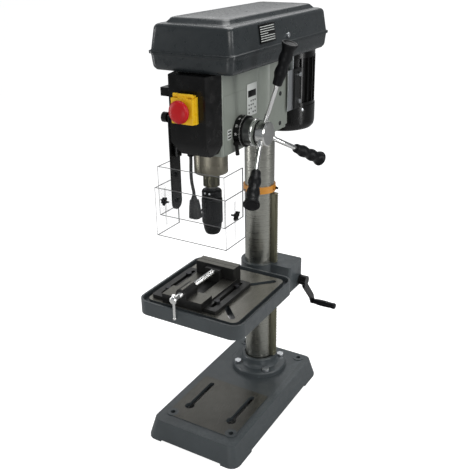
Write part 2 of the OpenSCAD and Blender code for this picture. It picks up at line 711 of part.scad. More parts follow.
module v_belts() {
    color("#1b1b1b") {
        belt(spindle_y, spindle_steps[front_step], idler_y, idler_steps[front_step],
            pulley_z + (front_step + 0.5) * step_h);
        belt(idler_y, idler_steps[rear_step], motor_y, motor_steps[rear_step],
            pulley_z + (rear_step + 0.5) * step_h);
    }
}
module belt_lid() {
    x = cover_x;
    r = 14;
    module shell(e, b) {
        hull() {
            slab(-x + 1 + e, x - 1 - e, cover_y0 + 1 + e, cover_y1 - 1 - e, seam_z + b, seam_z + 8, r, $fn = 32);
            slab(-x + 9 + e, x - 9 - e, cover_y0 + 9 + e, cover_y1 - 10 - e, lid_z - 6 - e, lid_z - e, r, $fn = 32);
        }
        hull() {
            slab(-x + 24 + e, x - 24 - e, cover_y0 + 24 + e, cover_y1 - 20 - e, lid_z - 10 - e, lid_z - e, r, $fn = 32);
            slab(-x + 32 + e, x - 32 - e, cover_y0 + 34 + e, cover_y1 - 26 - e, top_z - 3 - e, top_z - e, r, $fn = 32);
        }
    }
    color("#42474d") {
        difference() {
            shell(0, gap);
            shell(sheet, -1);
            xcyl(x - 12, x + 2, 58, lid_z - 38, 3 + run);
        }
        for (y = [-60, 160]) ycyl(y - 4.6, y + 4.6, -x - 3, seam_z, 3.2);
        for (y = [-60, 160]) box(-x - 4, -x + 4, y - 4.6, y + 4.6, seam_z + 1.5, seam_z + 4.5);
        for (y = [-60, 160]) ycyl(y - 13, y + 13, -x - 3, seam_z, 1.5);
    }
    color("#8e9092") xcyl(x - 10, x - 1, 58, lid_z - 38, 3);
}
module spindle_pulley() {
    color("#9fa2a3") translate([0, spindle_y, 0]) {
        pulley(spindle_steps, pulley_z, 8 + gap);
        tube(tray_z - 10, pulley_z, 14, 8 + gap);
    }
}
module idler_arm() {
    z = tray_z + 3.4;
    px = 30;
    py = idler_y + 60;
    color("#6f7274") {
        hull() { zcyl(px, py, z, z + 4, 12, $fn = 32); zcyl(0, idler_y, z, z + 4, 10, $fn = 32); }
        zcyl(px, py, tray_z - 8, z + 1, 6);
        zcyl(0, idler_y, z + 3, pulley_z + 4 * step_h + 3, 7);
    }
}
module idler_pulley() {
    color("#9fa2a3") translate([0, idler_y, 0]) pulley(idler_steps, pulley_z, 7 + run);
}

// ---- spindle and chuck ----
module quill() {
    p = feed_m * PI;
    n = ceil((quill_stroke + 30) / p);
    rz = feed_z - p * 3;                            // one tooth space faces the pinion at rest
    top = rz + n * p + 5;
    color("#97968e") difference() {
        translate([0, spindle_y, 0]) zcyl(0, 0, quill_z, top, quill_r);
        translate([0, spindle_y, 0]) zcyl(0, 0, quill_z - 1, top + 1, 11);
        translate([0, spindle_y, 0]) zcyl(0, 0, quill_z - 1, quill_z + 12, 14);
        translate([-7, spindle_y + quill_r - feed_m, rz]) rotate([90, 0, 90]) linear_extrude(14) difference() {
            translate([-1.25 * feed_m, 0]) square([feed_m * 4, n * p]);
            polygon(rack_pts(feed_m, n, feed_m * 2, 0.86));
        }
    }
}
module spindle() {
    color("#b4b5b2") translate([0, spindle_y, 0]) {
        zcyl(0, 0, quill_z + 0.5, tray_z + 85, 8);
        zcyl(0, 0, quill_z + 12.3, quill_z + 200, 10.7);
        zcyl(0, 0, quill_z + 0.5, quill_z + 11.5, 13.6);
        translate([0, 0, chuck_top - 14]) cylinder(h = 14.1, r1 = 7.5, r2 = 8.4);
        translate([0, 0, chuck_top]) cylinder(h = quill_z + 0.6 - chuck_top, r1 = 9.4, r2 = neck_r);
    }
}
module chuck_body() {
    z = chuck_top;
    color("#26272a") translate([0, spindle_y, 0]) difference() {
        rotate_extrude() polygon([[0, z], [16, z], [20, z - 2], [chuck_d / 2 - 1, z - 5], [chuck_d / 2 - 1, z - 17],
            [chuck_d / 2 - 4.5, z - 18.5], [chuck_d / 2 - 4.5, z - 84], [12, z - 84], [12, z - 104], [7, z - 104],
            [7, z - 40], [0, z - 34]]);
        translate([0, 0, z - 14]) cylinder(h = 14.1, r1 = 7.55, r2 = 8.45);
        translate([0, 0, z - 14.5]) cylinder(h = 0.6, r = 7.5);
    }
}
module chuck_sleeve() {
    z = chuck_top;
    r = chuck_d / 2;
    color("#1b1c1e") translate([0, spindle_y, 0]) rotate_extrude() polygon([[r - 4.2, z - 19], [r - 1, z - 19],
        [r, z - 21], [r, z - 76], [r - 1, z - 79], [r - 2.5, z - 88], [r - 7, z - 100], [r - 9, z - 103.5],
        [12.3, z - 103.5], [12.3, z - 84.3], [r - 4.2, z - 84.3]]);
}
module chuck_jaws() {
    color("#8a8c8c") for (a = [0:120:240]) translate([0, spindle_y, 0]) rotate(a)
        box(0.8, 6.2, -2.2, 2.2, chuck_top - 103, chuck_top - 52);
}
module feed_shaft() {
    color("#a5a6a2") {
        xcyl(-head_x - 16, hub_x1 - 4, feed_y, feed_z, 10);
        translate([-6.8, feed_y, feed_z]) rotate([90, 0, 90]) linear_extrude(13.6)
            rotate(180) polygon(gear_pts(feed_m, feed_teeth, 0.86));
    }
}
module feed_hub() {
    color("#c9cac6") difference() {
        translate([0, feed_y, feed_z]) rotate([0, 90, 0]) rotate_extrude() polygon([[10.1, feed_boss_x + gap],
            [24, feed_boss_x + gap], [24, hub_x0 - 2], [22, hub_x0 - 1.5], [22, hub_x0], [25.5, hub_x0 + 1],
            [25.5, hub_x1 - 3], [23, hub_x1], [0, hub_x1], [0, hub_x1 - 3.9], [10.1, hub_x1 - 3.9]]);
        for (n = [0:2]) on_spoke(n) translate([0, 0, 14]) cylinder(h = 30, r = 5 + run);
    }
}
module feed_spokes() {
    color("#cfd0cc") for (n = [0:2]) on_spoke(n) translate([0, 0, 14.5]) cylinder(h = grip_to * along - 30, r = 5);
}
module feed_grips() {
    a = grip_from * along;
    h = (grip_to - grip_from) * along;
    color("#1b1c1e") for (n = [0:2]) on_spoke(n) difference() {
        translate([0, 0, a]) rotate_extrude() polygon([[0, 0], [8.5, 0], [10, 2], [10.5, h * 0.12], [12.6, h * 0.24],
            [12.8, h * 0.34], [11, h * 0.46], [11.4, h * 0.54], [13.2, h * 0.64], [12.6, h * 0.76],
            [12.8, h * 0.84], [16.2, h * 0.94], [16.2, h * 0.98], [14.5, h], [0, h]]);
        translate([0, 0, a - 1]) cylinder(h = grip_to * along - 14.5 - a, r = 5 + run);
    }
}
module depth_ring() {
    color("#151618") translate([0, feed_y, feed_z]) rotate([0, 90, 0]) difference() {
        translate([0, 0, head_x + 1.5]) cylinder(h = 17.5, r = 33);
        cylinder(h = head_x + 30, r = feed_boss_r + gap);
        translate([0, 0, head_x + 10]) rotate([0, 0, -60]) rotate([0, 90, 0]) cylinder(h = 50, r = 3 + run);
    }
}
module depth_lock_lever() {
    color("#1a1b1d") translate([head_x + 10, feed_y, feed_z]) rotate([120, 0, 0]) {
        translate([0, 0, feed_boss_r + 0.6]) cylinder(h = 12, r = 3);
        translate([0, 0, 34]) cylinder(h = 8, r = 5.5);
        translate([0, 0, 38]) rotate([70, 0, 0]) cylinder(h = 26, r1 = 3.6, r2 = 4.4);
    }
}

// ---- guard ----
module guard_arm() {
    x = -guard_w / 2 + shield_t + 0.1;
    yc = guard_y1 - 18;
    color("#1d1e20") {
        difference() {
            union() {
                box(x, x + 4, yc - 17, yc + 17, guard_z + 13, 788);
                xcyl(x, x + 4, yc, guard_z + 13, 17);
                zcyl(pivot_x, pivot_y, guard_z + 120, 811.6, 9);
                zcyl(pivot_x, pivot_y, 811, 846.5, 5);
            }
            for (z = [guard_z + 16, guard_z + 76]) xcyl(x - 1, x + 6, yc, z, 3 + run);
        }
        for (z = [guard_z + 16, guard_z + 76]) { xcyl(x - 5, x + 9, yc, z, 3); xhex(x + 4, x + 8, yc, z, 9); }
        xcyl(x - 12, x + 1, yc, 780, 5);
        xcyl(x - 22, x - 10, yc, 780, 11);
    }
}
// three-sided clear shield open to the back
module shield(w, y0, y1, z0, z1) {
    difference() {
        box(-w / 2, w / 2, y0, y1, z0, z1);
        box(-w / 2 + shield_t, w / 2 - shield_t, y0 + shield_t, y1 + 1, z0 - 1, z1 + 1);
    }
}
wing_y = (guard_y0 + guard_y1) / 2;
wing_z = guard_z + 20;
module guard_upper() {
    color("#dfe6ea", 0.35) difference() {
        shield(guard_w, guard_y0, guard_y1, guard_z, guard_z + guard_h);
        for (z = [guard_z + 16, guard_z + 76]) xcyl(-guard_w, 0, guard_y1 - 18, z, 3 + run);
        xcyl(-guard_w, guard_w, wing_y - 8, wing_z, 2 + run);
    }
}
module guard_lower() {
    color("#dfe6ea", 0.35) difference() {
        shield(low_w, guard_y0 - 6, guard_y1, low_z, low_z + guard_h);
        for (s = [-1, 1]) translate([s * low_w / 2 - 10, 0, 0]) rotate([90, 0, 90]) linear_extrude(20)
            slot2([wing_y - 8, low_z + 12], [wing_y - 8, low_z + guard_h - 12], 4.6);
    }
}
module guard_wing_screws() {
    color("#1a1b1d") for (s = [-1, 1]) {
        x = s * low_w / 2;
        xcyl(min(x - s * 9, x + s * 8), max(x - s * 9, x + s * 8), wing_y - 8, wing_z, 2);
        xcyl(min(x + s * 0.3, x + s * 6), max(x + s * 0.3, x + s * 6), wing_y - 8, wing_z, 5);
        box(min(x + s * 3, x + s * 6), max(x + s * 3, x + s * 6), wing_y - 20, wing_y + 4, wing_z - 2, wing_z + 2);
    }
}

// ---- motor ----
module motor_body() {
    z0 = motor_z + 62;
    z1 = tray_z - 8;
    color("#17181a") translate([0, motor_y, 0]) difference() {
        union() {
            zcyl(0, 0, z0, z1, motor_r - 5);
            for (a = [-75:15:255]) rotate(a) box(motor_r - 8, motor_r, -1.6, 1.6, z0 + 6, z1 - 12);
            zcyl(0, 0, z0, z0 + 8, motor_r);
            zcyl(0, 0, z1 - 14, z1, motor_r - 1);
            for (s = [-1, 1]) box(s * 59 - 5, s * 59 + 5, -motor_r + 2, -motor_r + 34, 752, 846);
            box(-60, 60, -motor_r + 2, -motor_r + 12, 752, 846);
        }
        zcyl(0, 0, z0 - 1, z1 + 1, 7.5);
        zcyl(0, 0, z0 + 6, z1 - 6, 34);
        box(-90, 90, -90, -motor_r + 1.8, z0 - 1, z1 + 1);
        for (sx = [-1, 1], z = [768, 832]) xcyl(min(sx * 50, sx * 66), max(sx * 50, sx * 66), -motor_r + 24, z, 3 + run);
    }
}
module fan_cover() {
    z0 = motor_z;
    z1 = motor_z + 61.8;
    r = motor_r + 1.5;
    color("#1d1e20") translate([0, motor_y, 0]) difference() {
        rotate_extrude() polygon([[20, z0], [r - 16, z0], [r - 7, z0 + 3], [r - 2, z0 + 9], [r, z0 + 18], [r, z1],
            [r - 2.5, z1], [r - 2.5, z0 + 18.5], [r - 4.5, z0 + 11], [r - 9, z0 + 5.5], [r - 16, z0 + 2.5],
            [20, z0 + 2.5]]);
        for (a = [0:30:330], q = [30, 44, 57]) rotate(a) box(q - 3, q + 3, -4, 4, z0 - 1, z0 + 4);
        box(-90, 90, -90, -motor_r + 1.8, z0 - 1, z1 + 1);
    }
}
module motor_plate() {
    y = motor_y - motor_r + 1.7;
    color("#b9bbb9") {
        difference() {
            union() {
                box(-60, 60, y - 3, y, 752, tray_z - 10);
                for (s = [-1, 1]) box(s * 58.75 - 1.25, s * 58.75 + 1.25, head_y1 - 14, y - 1, 752, 846);
            }
        }
        for (s = [-1, 1]) ycyl(col_y + 22, y - 2, s * 38, tray_z - 22, 8);
    }
}
module motor_bolts() {
    y = motor_y - motor_r + 24;
    color("#c5c6c4") for (s = [-1, 1], z = [768, 832]) {
        xcyl(min(s * 54.5, s * 64.2), max(s * 54.5, s * 64.2), y, z, 3);
        xhex(min(s * 64.2, s * 68.5), max(s * 64.2, s * 68.5), y, z, 10);
    }
}
module motor_shaft() {
    color("#a9aaa7") translate([0, motor_y, 0]) {
        zcyl(0, 0, motor_z + 30, pulley_z + 3 * step_h + 4, 7);
        zcyl(0, 0, motor_z + 72, tray_z - 18, 31);
        difference() {
            union() {
                zcyl(0, 0, motor_z + 30, motor_z + 50, 10);
                for (a = [0:45:315]) rotate(a) box(9, 55, -1, 1, motor_z + 32, motor_z + 48);
            }
            zcyl(0, 0, motor_z + 20, motor_z + 60, 6.9);
        }
    }
}
module motor_pulley() { color("#9fa2a3") translate([0, motor_y, 0]) pulley(motor_steps, pulley_z, 7 + run); }

base();
column_flange();
flange_bolts();
column();
rack_collar();
set_screws();
head_casting();
front_cover();
switch_box();
spring_cap();
return_spring();
guard_bracket();
belt_tray();
v_belts();
cord_gland();
power_cord();
power_plug();
column_rack();
table_bracket();
tilt_bolt();
bracket_lock_lever();
worm_shaft();
table_crank();
crank_grip();
lift_gear();
work_table();
vise_body();
vise_bolts();
vise_jaw();
vise_screw();
vise_handle();
switch_flap();
emergency_button();
start_button();
stop_button();
quill();
spindle();
chuck_body();
chuck_jaws();
chuck_sleeve();
feed_shaft();
feed_hub();
feed_spokes();
feed_grips();
depth_ring();
depth_lock_lever();
guard_arm();
guard_upper();
guard_lower();
guard_wing_screws();
belt_lid();
spindle_pulley();
idler_arm();
idler_pulley();
motor_body();
fan_cover();
motor_plate();
motor_bolts();
motor_shaft();
motor_pulley();
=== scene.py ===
"""Bench drill press: finishes, fine pieces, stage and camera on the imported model."""
from math import atan2, cos, radians, sin, tau

import bmesh
import bpy
from mathutils import Matrix, Vector


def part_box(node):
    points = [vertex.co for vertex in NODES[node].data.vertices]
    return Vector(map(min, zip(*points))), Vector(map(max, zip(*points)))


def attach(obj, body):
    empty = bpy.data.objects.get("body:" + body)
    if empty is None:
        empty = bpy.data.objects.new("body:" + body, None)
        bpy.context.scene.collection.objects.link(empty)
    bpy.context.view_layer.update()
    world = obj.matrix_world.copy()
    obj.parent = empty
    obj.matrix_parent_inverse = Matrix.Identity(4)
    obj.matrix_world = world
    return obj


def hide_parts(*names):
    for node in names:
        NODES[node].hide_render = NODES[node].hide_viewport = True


bl_info = {
    "name": "Bench Drill Press",
    "version": (1, 0, 0),
    "blender": (4, 5, 0),
    "location": "View3D > Sidebar > Drill Press",
    "description": "Dresses the machine's solids with finishes and fine pieces",
    "category": "Object",
}

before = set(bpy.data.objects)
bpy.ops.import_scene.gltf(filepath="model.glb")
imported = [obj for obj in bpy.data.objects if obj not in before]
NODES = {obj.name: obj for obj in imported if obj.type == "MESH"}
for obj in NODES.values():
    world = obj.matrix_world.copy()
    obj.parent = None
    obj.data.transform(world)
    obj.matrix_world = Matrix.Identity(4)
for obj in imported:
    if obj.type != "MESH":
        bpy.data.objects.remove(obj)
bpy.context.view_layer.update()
MM = 0.001


# ---------------------------------------------------------------- places
def centre(node):
    """Middle of a node's box, in metres."""
    low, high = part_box(node)
    return (low + high) / 2


SPINDLE = centre("spindle")
FEED = centre("feed_shaft")
COLUMN = centre("column")
MOTOR = centre("motor_shaft")


# ---------------------------------------------------------------- finishes
class Paint:
    """A procedural finish under construction."""

    def __init__(self, name, colour, roughness=0.5, metallic=0.0):
        self.mat = bpy.data.materials.new(name)
        self.mat.use_nodes = True
        self.tree = self.mat.node_tree
        self.shader = self.tree.nodes["Principled BSDF"]
        self.shader.inputs["Base Color"].default_value = (*colour[:3], 1)
        self.shader.inputs["Roughness"].default_value = roughness
        self.shader.inputs["Metallic"].default_value = metallic
        self.colour = colour
        self.roughness = roughness
        self.place = self.tree.nodes.new("ShaderNodeTexCoord").outputs["Object"]
        self.height = None

    def node(self, kind, **inputs):
        n = self.tree.nodes.new(kind)
        for key, value in inputs.items():
            self.feed(n.inputs[key.replace("_", " ")], value)
        return n

    def feed(self, socket, value):
        if isinstance(value, bpy.types.NodeSocket):
            self.tree.links.new(value, socket)
        else:
            socket.default_value = value

    def math(self, kind, a, b=0.0, c=0.0):
        n = self.tree.nodes.new("ShaderNodeMath")
        n.operation = kind
        for socket, value in zip(n.inputs, (a, b, c)):
            self.feed(socket, value)
        return n.outputs[0]

    def stretched(self, scale, turn=(0, 0, 0)):
        m = self.node("ShaderNodeMapping", Vector=self.place)
        m.inputs["Scale"].default_value = scale
        m.inputs["Rotation"].default_value = turn
        return m.outputs[0]

    def noise(self, scale, detail=3.0, at=None, rough=0.5):
        n = self.node("ShaderNodeTexNoise", Vector=at or self.place, Scale=scale, Detail=detail, Roughness=rough)
        return n.outputs["Fac"]

    def ramp(self, value, low, high, start=0.0, end=1.0):
        n = self.tree.nodes.new("ShaderNodeMapRange")
        for key, v in (("Value", value), ("From Min", start), ("From Max", end), ("To Min", low), ("To Max", high)):
            self.feed(n.inputs[key], v)
        return n.outputs[0]

    def mix(self, factor, a, b):
        n = self.tree.nodes.new("ShaderNodeMix")
        n.data_type = "RGBA"
        for socket, value in ((n.inputs[0], factor), (n.inputs[6], a), (n.inputs[7], b)):
            if isinstance(value, (tuple, list)):
                value = (*value[:3], 1)
            self.feed(socket, value)
        return n.outputs[2]

    def tint(self, value):
        self.feed(self.shader.inputs["Base Color"], value)

    def rough(self, value):
        self.feed(self.shader.inputs["Roughness"], value)

    def bump(self, height, distance, strength=1.0):
        n = self.node("ShaderNodeBump", Height=height, Distance=distance, Strength=strength)
        if self.height:
            self.tree.links.new(self.height, n.inputs["Normal"])
        self.height = n.outputs[0]
        self.tree.links.new(self.height, self.shader.inputs["Normal"])

    def level(self, axis, low, high):
        """1 between two places on an axis."""
        xyz = self.node("ShaderNodeSeparateXYZ", Vector=self.place).outputs[axis]
        return self.math("MULTIPLY", self.math("GREATER_THAN", xyz, low), self.math("LESS_THAN", xyz, high))

    def facing(self, axis, least):
        """1 where the surface faces along an axis."""
        normal = self.tree.nodes.new("ShaderNodeNewGeometry").outputs["True Normal"]
        part = self.node("ShaderNodeSeparateXYZ", Vector=normal).outputs[axis]
        return self.math("GREATER_THAN", part, least)


def shade(colour, k):
    """A colour made darker or lighter."""
    return tuple(min(1.0, c * k) for c in colour[:3])


def enamel(name, colour, roughness=0.38, grain=900, depth=0.00012, wear=0.25, blotch=0.10, gloss=0.5):
    """Sprayed enamel: orange peel, faint blotches and thin paint on edges."""
    p = Paint(name, colour, roughness)
    p.shader.inputs["Coat Weight"].default_value = 0.15 if gloss == 0.5 else 0.0
    p.shader.inputs["Specular IOR Level"].default_value = gloss
    p.shader.inputs["Coat Roughness"].default_value = 0.18
    broad = p.noise(9, 4)
    fine = p.noise(grain, 2)
    tone = p.mix(p.ramp(broad, 0, 1, 0.3, 0.7), shade(colour, 1 - blotch), shade(colour, 1 + blotch))
    edge = p.tree.nodes.new("ShaderNodeNewGeometry").outputs["Pointiness"]
    thin = p.math("MULTIPLY", p.ramp(edge, 0, 1, 0.52, 0.60), p.ramp(p.noise(220, 3), 0.2, 1, 0.35, 0.65))
    p.tint(p.mix(p.math("MULTIPLY", thin, wear), tone, shade(colour, 2.6)))
    p.rough(p.ramp(p.noise(60, 3), roughness - 0.06, roughness + 0.08, 0.3, 0.7))
    p.bump(fine, depth, 0.6)
    p.bump(p.noise(140, 2), depth * 2.5, 0.25)
    return p


def cast_enamel(name, colour, roughness=0.42):
    """Thicker enamel over rough cast iron."""
    p = enamel(name, colour, roughness, grain=1100, depth=0.0002, wear=0.35, blotch=0.14)
    p.bump(p.noise(420, 4, rough=0.6), 0.0004, 0.35)
    return p


def machined_faces(p, metal, *zones):
    """Bare ground metal on the faces that look up inside the given height zones."""
    mask = None
    for low, high in zones:
        one = p.math("MULTIPLY", p.level(2, low, high), p.facing(2, 0.9))
        mask = one if mask is None else p.math("MAXIMUM", mask, one)
    lines = p.noise(1.0, 4, at=p.stretched((2600, 60, 60)))
    swirl = p.noise(34, 5)
    bare = p.mix(p.ramp(lines, 0, 1, 0.3, 0.7), shade(metal, 0.72), shade(metal, 1.12))
    bare = p.mix(p.ramp(swirl, 0, 0.5, 0.45, 0.75), bare, shade(metal, 0.6))
    old = p.shader.inputs["Base Color"].links[0].from_socket
    p.tint(p.mix(mask, old, bare))
    was = p.shader.inputs["Roughness"].links[0].from_socket
    turned = p.ramp(lines, 0.26, 0.44, 0.3, 0.7)
    blend = p.tree.nodes.new("ShaderNodeMix")
    for socket, value in ((blend.inputs[0], mask), (blend.inputs[2], was), (blend.inputs[3], turned)):
        p.feed(socket, value)
    p.rough(blend.outputs[0])
    p.feed(p.shader.inputs["Metallic"], p.math("MULTIPLY", mask, 0.85))
    return p


def ground_steel(name, colour, roughness=0.28, lines=(30, 30, 2600), bump=0.00001, patina=0.12, grain=0.0):
    """Ground or turned metal, its fine lines running across the given long scale."""
    p = Paint(name, colour, roughness, 1.0)
    p.shader.inputs["Anisotropic"].default_value = grain
    streak = p.noise(1.0, 5, at=p.stretched(lines), rough=0.65)
    cloud = p.noise(14, 4)
    tone = p.mix(p.ramp(streak, 0, 1, 0.3, 0.7), shade(colour, 0.86), shade(colour, 1.1))
    p.tint(p.mix(p.ramp(cloud, 0, patina, 0.4, 0.8), tone, shade(colour, 0.55)))
    p.rough(p.ramp(streak, roughness - 0.06, roughness + 0.12, 0.25, 0.75))
    p.bump(streak, bump, 0.5)
    return p


def polished(name, colour, roughness=0.07):
    """Chrome with faint smears."""
    p = Paint(name, colour, roughness, 1.0)
    smear = p.noise(45, 4)
    p.tint(p.mix(p.ramp(smear, 0, 0.5, 0.45, 0.8), colour, shade(colour, 0.86)))
    p.rough(p.ramp(smear, roughness, roughness + 0.10, 0.4, 0.75))
    p.bump(p.noise(500, 2), 0.00001, 0.2)
    return p


def plastic(name, colour, roughness=0.45, grain=1600, depth=0.00008, dust=0.06, gloss=0.5):
    """Moulded plastic with a fine grain and a little dust."""
    p = Paint(name, colour, roughness)
    p.shader.inputs["Specular IOR Level"].default_value = gloss
    broad = p.noise(22, 4)
    p.tint(p.mix(p.ramp(broad, 0, dust, 0.4, 0.8), colour, shade([max(c, 0.05) for c in colour], 1.7)))
    p.rough(p.ramp(p.noise(120, 3), roughness - 0.05, roughness + 0.08, 0.3, 0.7))
    p.bump(p.noise(grain, 2), depth, 0.5)
    return p


def clear_sheet(name, colour, alpha):
    """Thin clear plastic with faint scuffs."""
    p = Paint(name, colour, 0.06)
    p.shader.inputs["Alpha"].default_value = alpha
    p.shader.inputs["IOR"].default_value = 1.49
    p.shader.inputs["Specular IOR Level"].default_value = 0.25
    p.rough(p.ramp(p.noise(90, 4), 0.04, 0.14, 0.4, 0.8))
    p.bump(p.noise(3, 2), 0.0006, 0.12)
    return p


FINISH = {}


def make_finishes(look):
    """Makes every finish once, by name, in FINISH."""
    dark = tuple(look.casting_colour)
    paints = {}
    paints["cast"] = cast_enamel("Slate cast enamel", dark)
    paints["base"] = machined_faces(cast_enamel("Slate enamel, ground pad", dark), shade(look.table_metal, 0.42),
                                    (0.0531, 0.0539))
    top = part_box("vise_body")[0].z
    paints["table"] = machined_faces(cast_enamel("Slate enamel, ground top", dark), look.table_metal,
                                     (top - 0.0006, top + 0.0006))
    paints["lid"] = enamel("Slate cover enamel", shade(dark, 0.5), 0.30, 700, 0.00008, 0, 0.08, 0.45)
    paints["head"] = enamel("Grey-green head enamel", tuple(look.head_colour), 0.34, 800, 0.00014, 0, 0.07)
    paints["black"] = enamel("Satin black enamel", (0.004, 0.004, 0.004), 0.22, 1000, 0.00002, 0, 0.1, 0.3)
    paints["gloss black"] = enamel("Gloss black motor enamel", (0.003, 0.003, 0.003), 0.22, 800, 0.00004, 0, 0.1,
                                   0.35)
    paints["orange"] = enamel("Orange collar enamel", (0.60, 0.25, 0.03), 0.34, 900, 0.0001, 0, 0.12)
    paints["column"] = ground_steel("Ground column steel", (0.36, 0.36, 0.325), 0.27, (9, 9, 900), 0.000003, 0.15,
                                    0.45)
    paints["rack"] = ground_steel("Milled rack steel", (0.34, 0.33, 0.24), 0.38, (900, 60, 900), 0.00004, 0.4)
    paints["quill"] = ground_steel("Ground quill steel", (0.09, 0.086, 0.062), 0.30, patina=0.25)
    paints["boss"] = ground_steel("Bare turned casting", (0.24, 0.225, 0.18), 0.33, patina=0.3)
    paints["blued"] = ground_steel("Blued turned steel", (0.13, 0.135, 0.13), 0.30, (2600, 30, 30), 0.00002, 0.3)
    paints["turned x"] = ground_steel("Turned steel on the cross axis", (0.72, 0.72, 0.70), 0.16, (2600, 30, 30),
                                      0.00002)
    paints["steel"] = ground_steel("Turned steel", (0.60, 0.60, 0.58), 0.25)
    paints["zinc"] = ground_steel("Zinc plate", (0.66, 0.68, 0.70), 0.30, (300, 300, 300), 0.00002, 0.3)
    paints["aluminium"] = ground_steel("Turned aluminium", (0.72, 0.73, 0.74), 0.28)
    paints["oxide"] = ground_steel("Black oxide steel", (0.06, 0.06, 0.065), 0.38, (300, 300, 300), 0.00003, 0.3)
    paints["chrome"] = polished("Chrome plate", (0.82, 0.82, 0.81))
    paints["grip"] = plastic("Dark grip plastic", (0.004, 0.0043, 0.005), 0.36, depth=0.00003, dust=0.008,
                             gloss=0.17)
    paints["plastic"] = plastic("Black plastic", (0.0025, 0.0025, 0.0025), 0.36, depth=0.00003, dust=0.008,
                                gloss=0.18)
    paints["yellow"] = plastic("Yellow switch plastic", (0.80, 0.48, 0.015), 0.28, 1200, 0.00004)
    paints["red"] = plastic("Red button plastic", (0.46, 0.006, 0.010), 0.34, 1200, 0.00002, 0.03, 0.3)
    paints["green"] = plastic("Green key plastic", (0.03, 0.30, 0.08), 0.30)
    paints["rubber"] = plastic("Belt rubber", (0.02, 0.02, 0.02), 0.75, 2500, 0.00012, 0.2)
    paints["cord"] = plastic("Cord rubber", (0.012, 0.012, 0.012), 0.50, 900, 0.00006)
    paints["clear"] = clear_sheet("Clear shield sheet", (0.12, 0.13, 0.14), look.shield_alpha)
    paints["frosted"] = plastic("Cut sheet edge", (0.20, 0.20, 0.20), 0.35)
    paints["white"] = plastic("White marking ink", (0.80, 0.80, 0.78), 0.5)
    paints["label"] = plastic("Silver label film", (0.50, 0.52, 0.50), 0.35)
    low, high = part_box("vise_body")
    heights = (high.z, low.z + 0.013, low.z + 0.022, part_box("vise_jaw")[1].z)
    paints["vise"] = machined_faces(enamel("Vise enamel, ground faces", (0.009, 0.009, 0.0085), 0.34, gloss=0.4),
                                    shade(look.table_metal, 0.7), *((z - 0.0006, z + 0.0006) for z in heights))
    FINISH.update((key, paint.mat) for key, paint in paints.items())


# ---------------------------------------------------------------- mesh helpers
def make_object(name, points, faces, finish, body, smooth=32, slot=None):
    name = name.replace(" ", "_")
    mesh = bpy.data.meshes.new(name)
    mesh.from_pydata([tuple(p) for p in points], [], faces)
    mesh.validate()
    bm = bmesh.new()
    bm.from_mesh(mesh)
    bmesh.ops.recalc_face_normals(bm, faces=bm.faces)
    bm.to_mesh(mesh)
    bm.free()
    for poly in mesh.polygons:
        poly.use_smooth = True
    mesh.set_sharp_from_angle(angle=radians(smooth))
    mesh.materials.append(FINISH[finish])
    obj = bpy.data.objects.new(name, mesh)
    bpy.context.scene.collection.objects.link(obj)
    if body:
        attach(obj, body)
    return obj


def join_parts(parts):
    """One list of points and faces from several."""
    points, faces = [], []
    for p, f in parts:
        k = len(points)
        points += [Vector(v) for v in p]
        faces += [tuple(i + k for i in face) for face in f]
    return points, faces


def in_metres(pairs):
    """Profile pairs in metres from pairs in millimetres."""
    return [(a * MM, b * MM) for a, b in pairs]


def moved(part, matrix):
    return [matrix @ Vector(p) for p in part[0]], part[1]


def along(axis, at=(0, 0, 0), spin=0.0):
    """Matrix that takes +Z to an axis, at a place."""
    a = Vector(axis).normalized()
    return Matrix.Translation(at) @ a.to_track_quat("Z", "Y").to_matrix().to_4x4() @ Matrix.Rotation(spin, 4, "Z")


def loft(loops, close_start=True, close_end=True):
    """Skin over closed loops of equal count, with flat ends where asked."""
    n = len(loops[0])
    points = [p for loop in loops for p in loop]
    faces = []
    for i in range(len(loops) - 1):
        for k in range(n):
            m = (k + 1) % n
            faces.append((i * n + k, i * n + m, (i + 1) * n + m, (i + 1) * n + k))
    if close_start:
        faces.append(tuple(reversed(range(n))))
    if close_end:
        faces.append(tuple(range((len(loops) - 1) * n, len(loops) * n)))
    return points, faces


def lathe(profile, steps=64, ripple=None, close=True):
    """Turned shape round Z from (radius, height) pairs."""
    loops = []
    for r, z in profile:
        loop = []
        for k in range(steps):
            a = tau * k / steps
            q = r + (ripple(a, z) if ripple else 0)
            loop.append(Vector((q * cos(a), q * sin(a), z)))
        loops.append(loop)
    return loft(loops, close, close)


def block(low, high, r=0.0006):
    """Box with bevelled edges, from corner to corner."""
    bm = bmesh.new()
    bmesh.ops.create_cube(bm, size=1)
    low, high = Vector(low), Vector(high)
    for v in bm.verts:
        v.co = Vector(low[i] + (v.co[i] + 0.5) * (high[i] - low[i]) for i in range(3))
    if r:
        bmesh.ops.bevel(bm, geom=bm.edges[:], offset=min(r, 0.45 * min(high - low)), segments=2, profile=0.5,
                        affect="EDGES")
    bm.verts.ensure_lookup_table()
    out = [v.co.copy() for v in bm.verts], [tuple(v.index for v in f.verts) for f in bm.faces]
    bm.free()
    return out


def rounded_loop(x0, x1, y0, y1, z, r, n=6):
    points = []
    for cx, cy, a in ((x1 - r, y1 - r, 0), (x0 + r, y1 - r, 90), (x0 + r, y0 + r, 180), (x1 - r, y0 + r, 270)):
        for k in range(n + 1):
            t = radians(a + 90 * k / n)
            points.append(Vector((cx + r * cos(t), cy + r * sin(t), z)))
    return points


def smooth_path(points, per=6):
    """Catmull-Rom points through the given ones."""
    pts = [Vector(p) for p in points]
    ends = [2 * pts[0] - pts[1]] + pts + [2 * pts[-1] - pts[-2]]
    out = []
    for i in range(1, len(ends) - 2):
        a, b, c, d = ends[i - 1:i + 3]
        for k in range(per):
            t = k / per
            square, cube = 2 * a - 5 * b + 4 * c - d, 3 * b - a - 3 * c + d
            out.append(0.5 * (2 * b + (c - a) * t + square * t * t + cube * t ** 3))
    out.append(pts[-1])
    return out


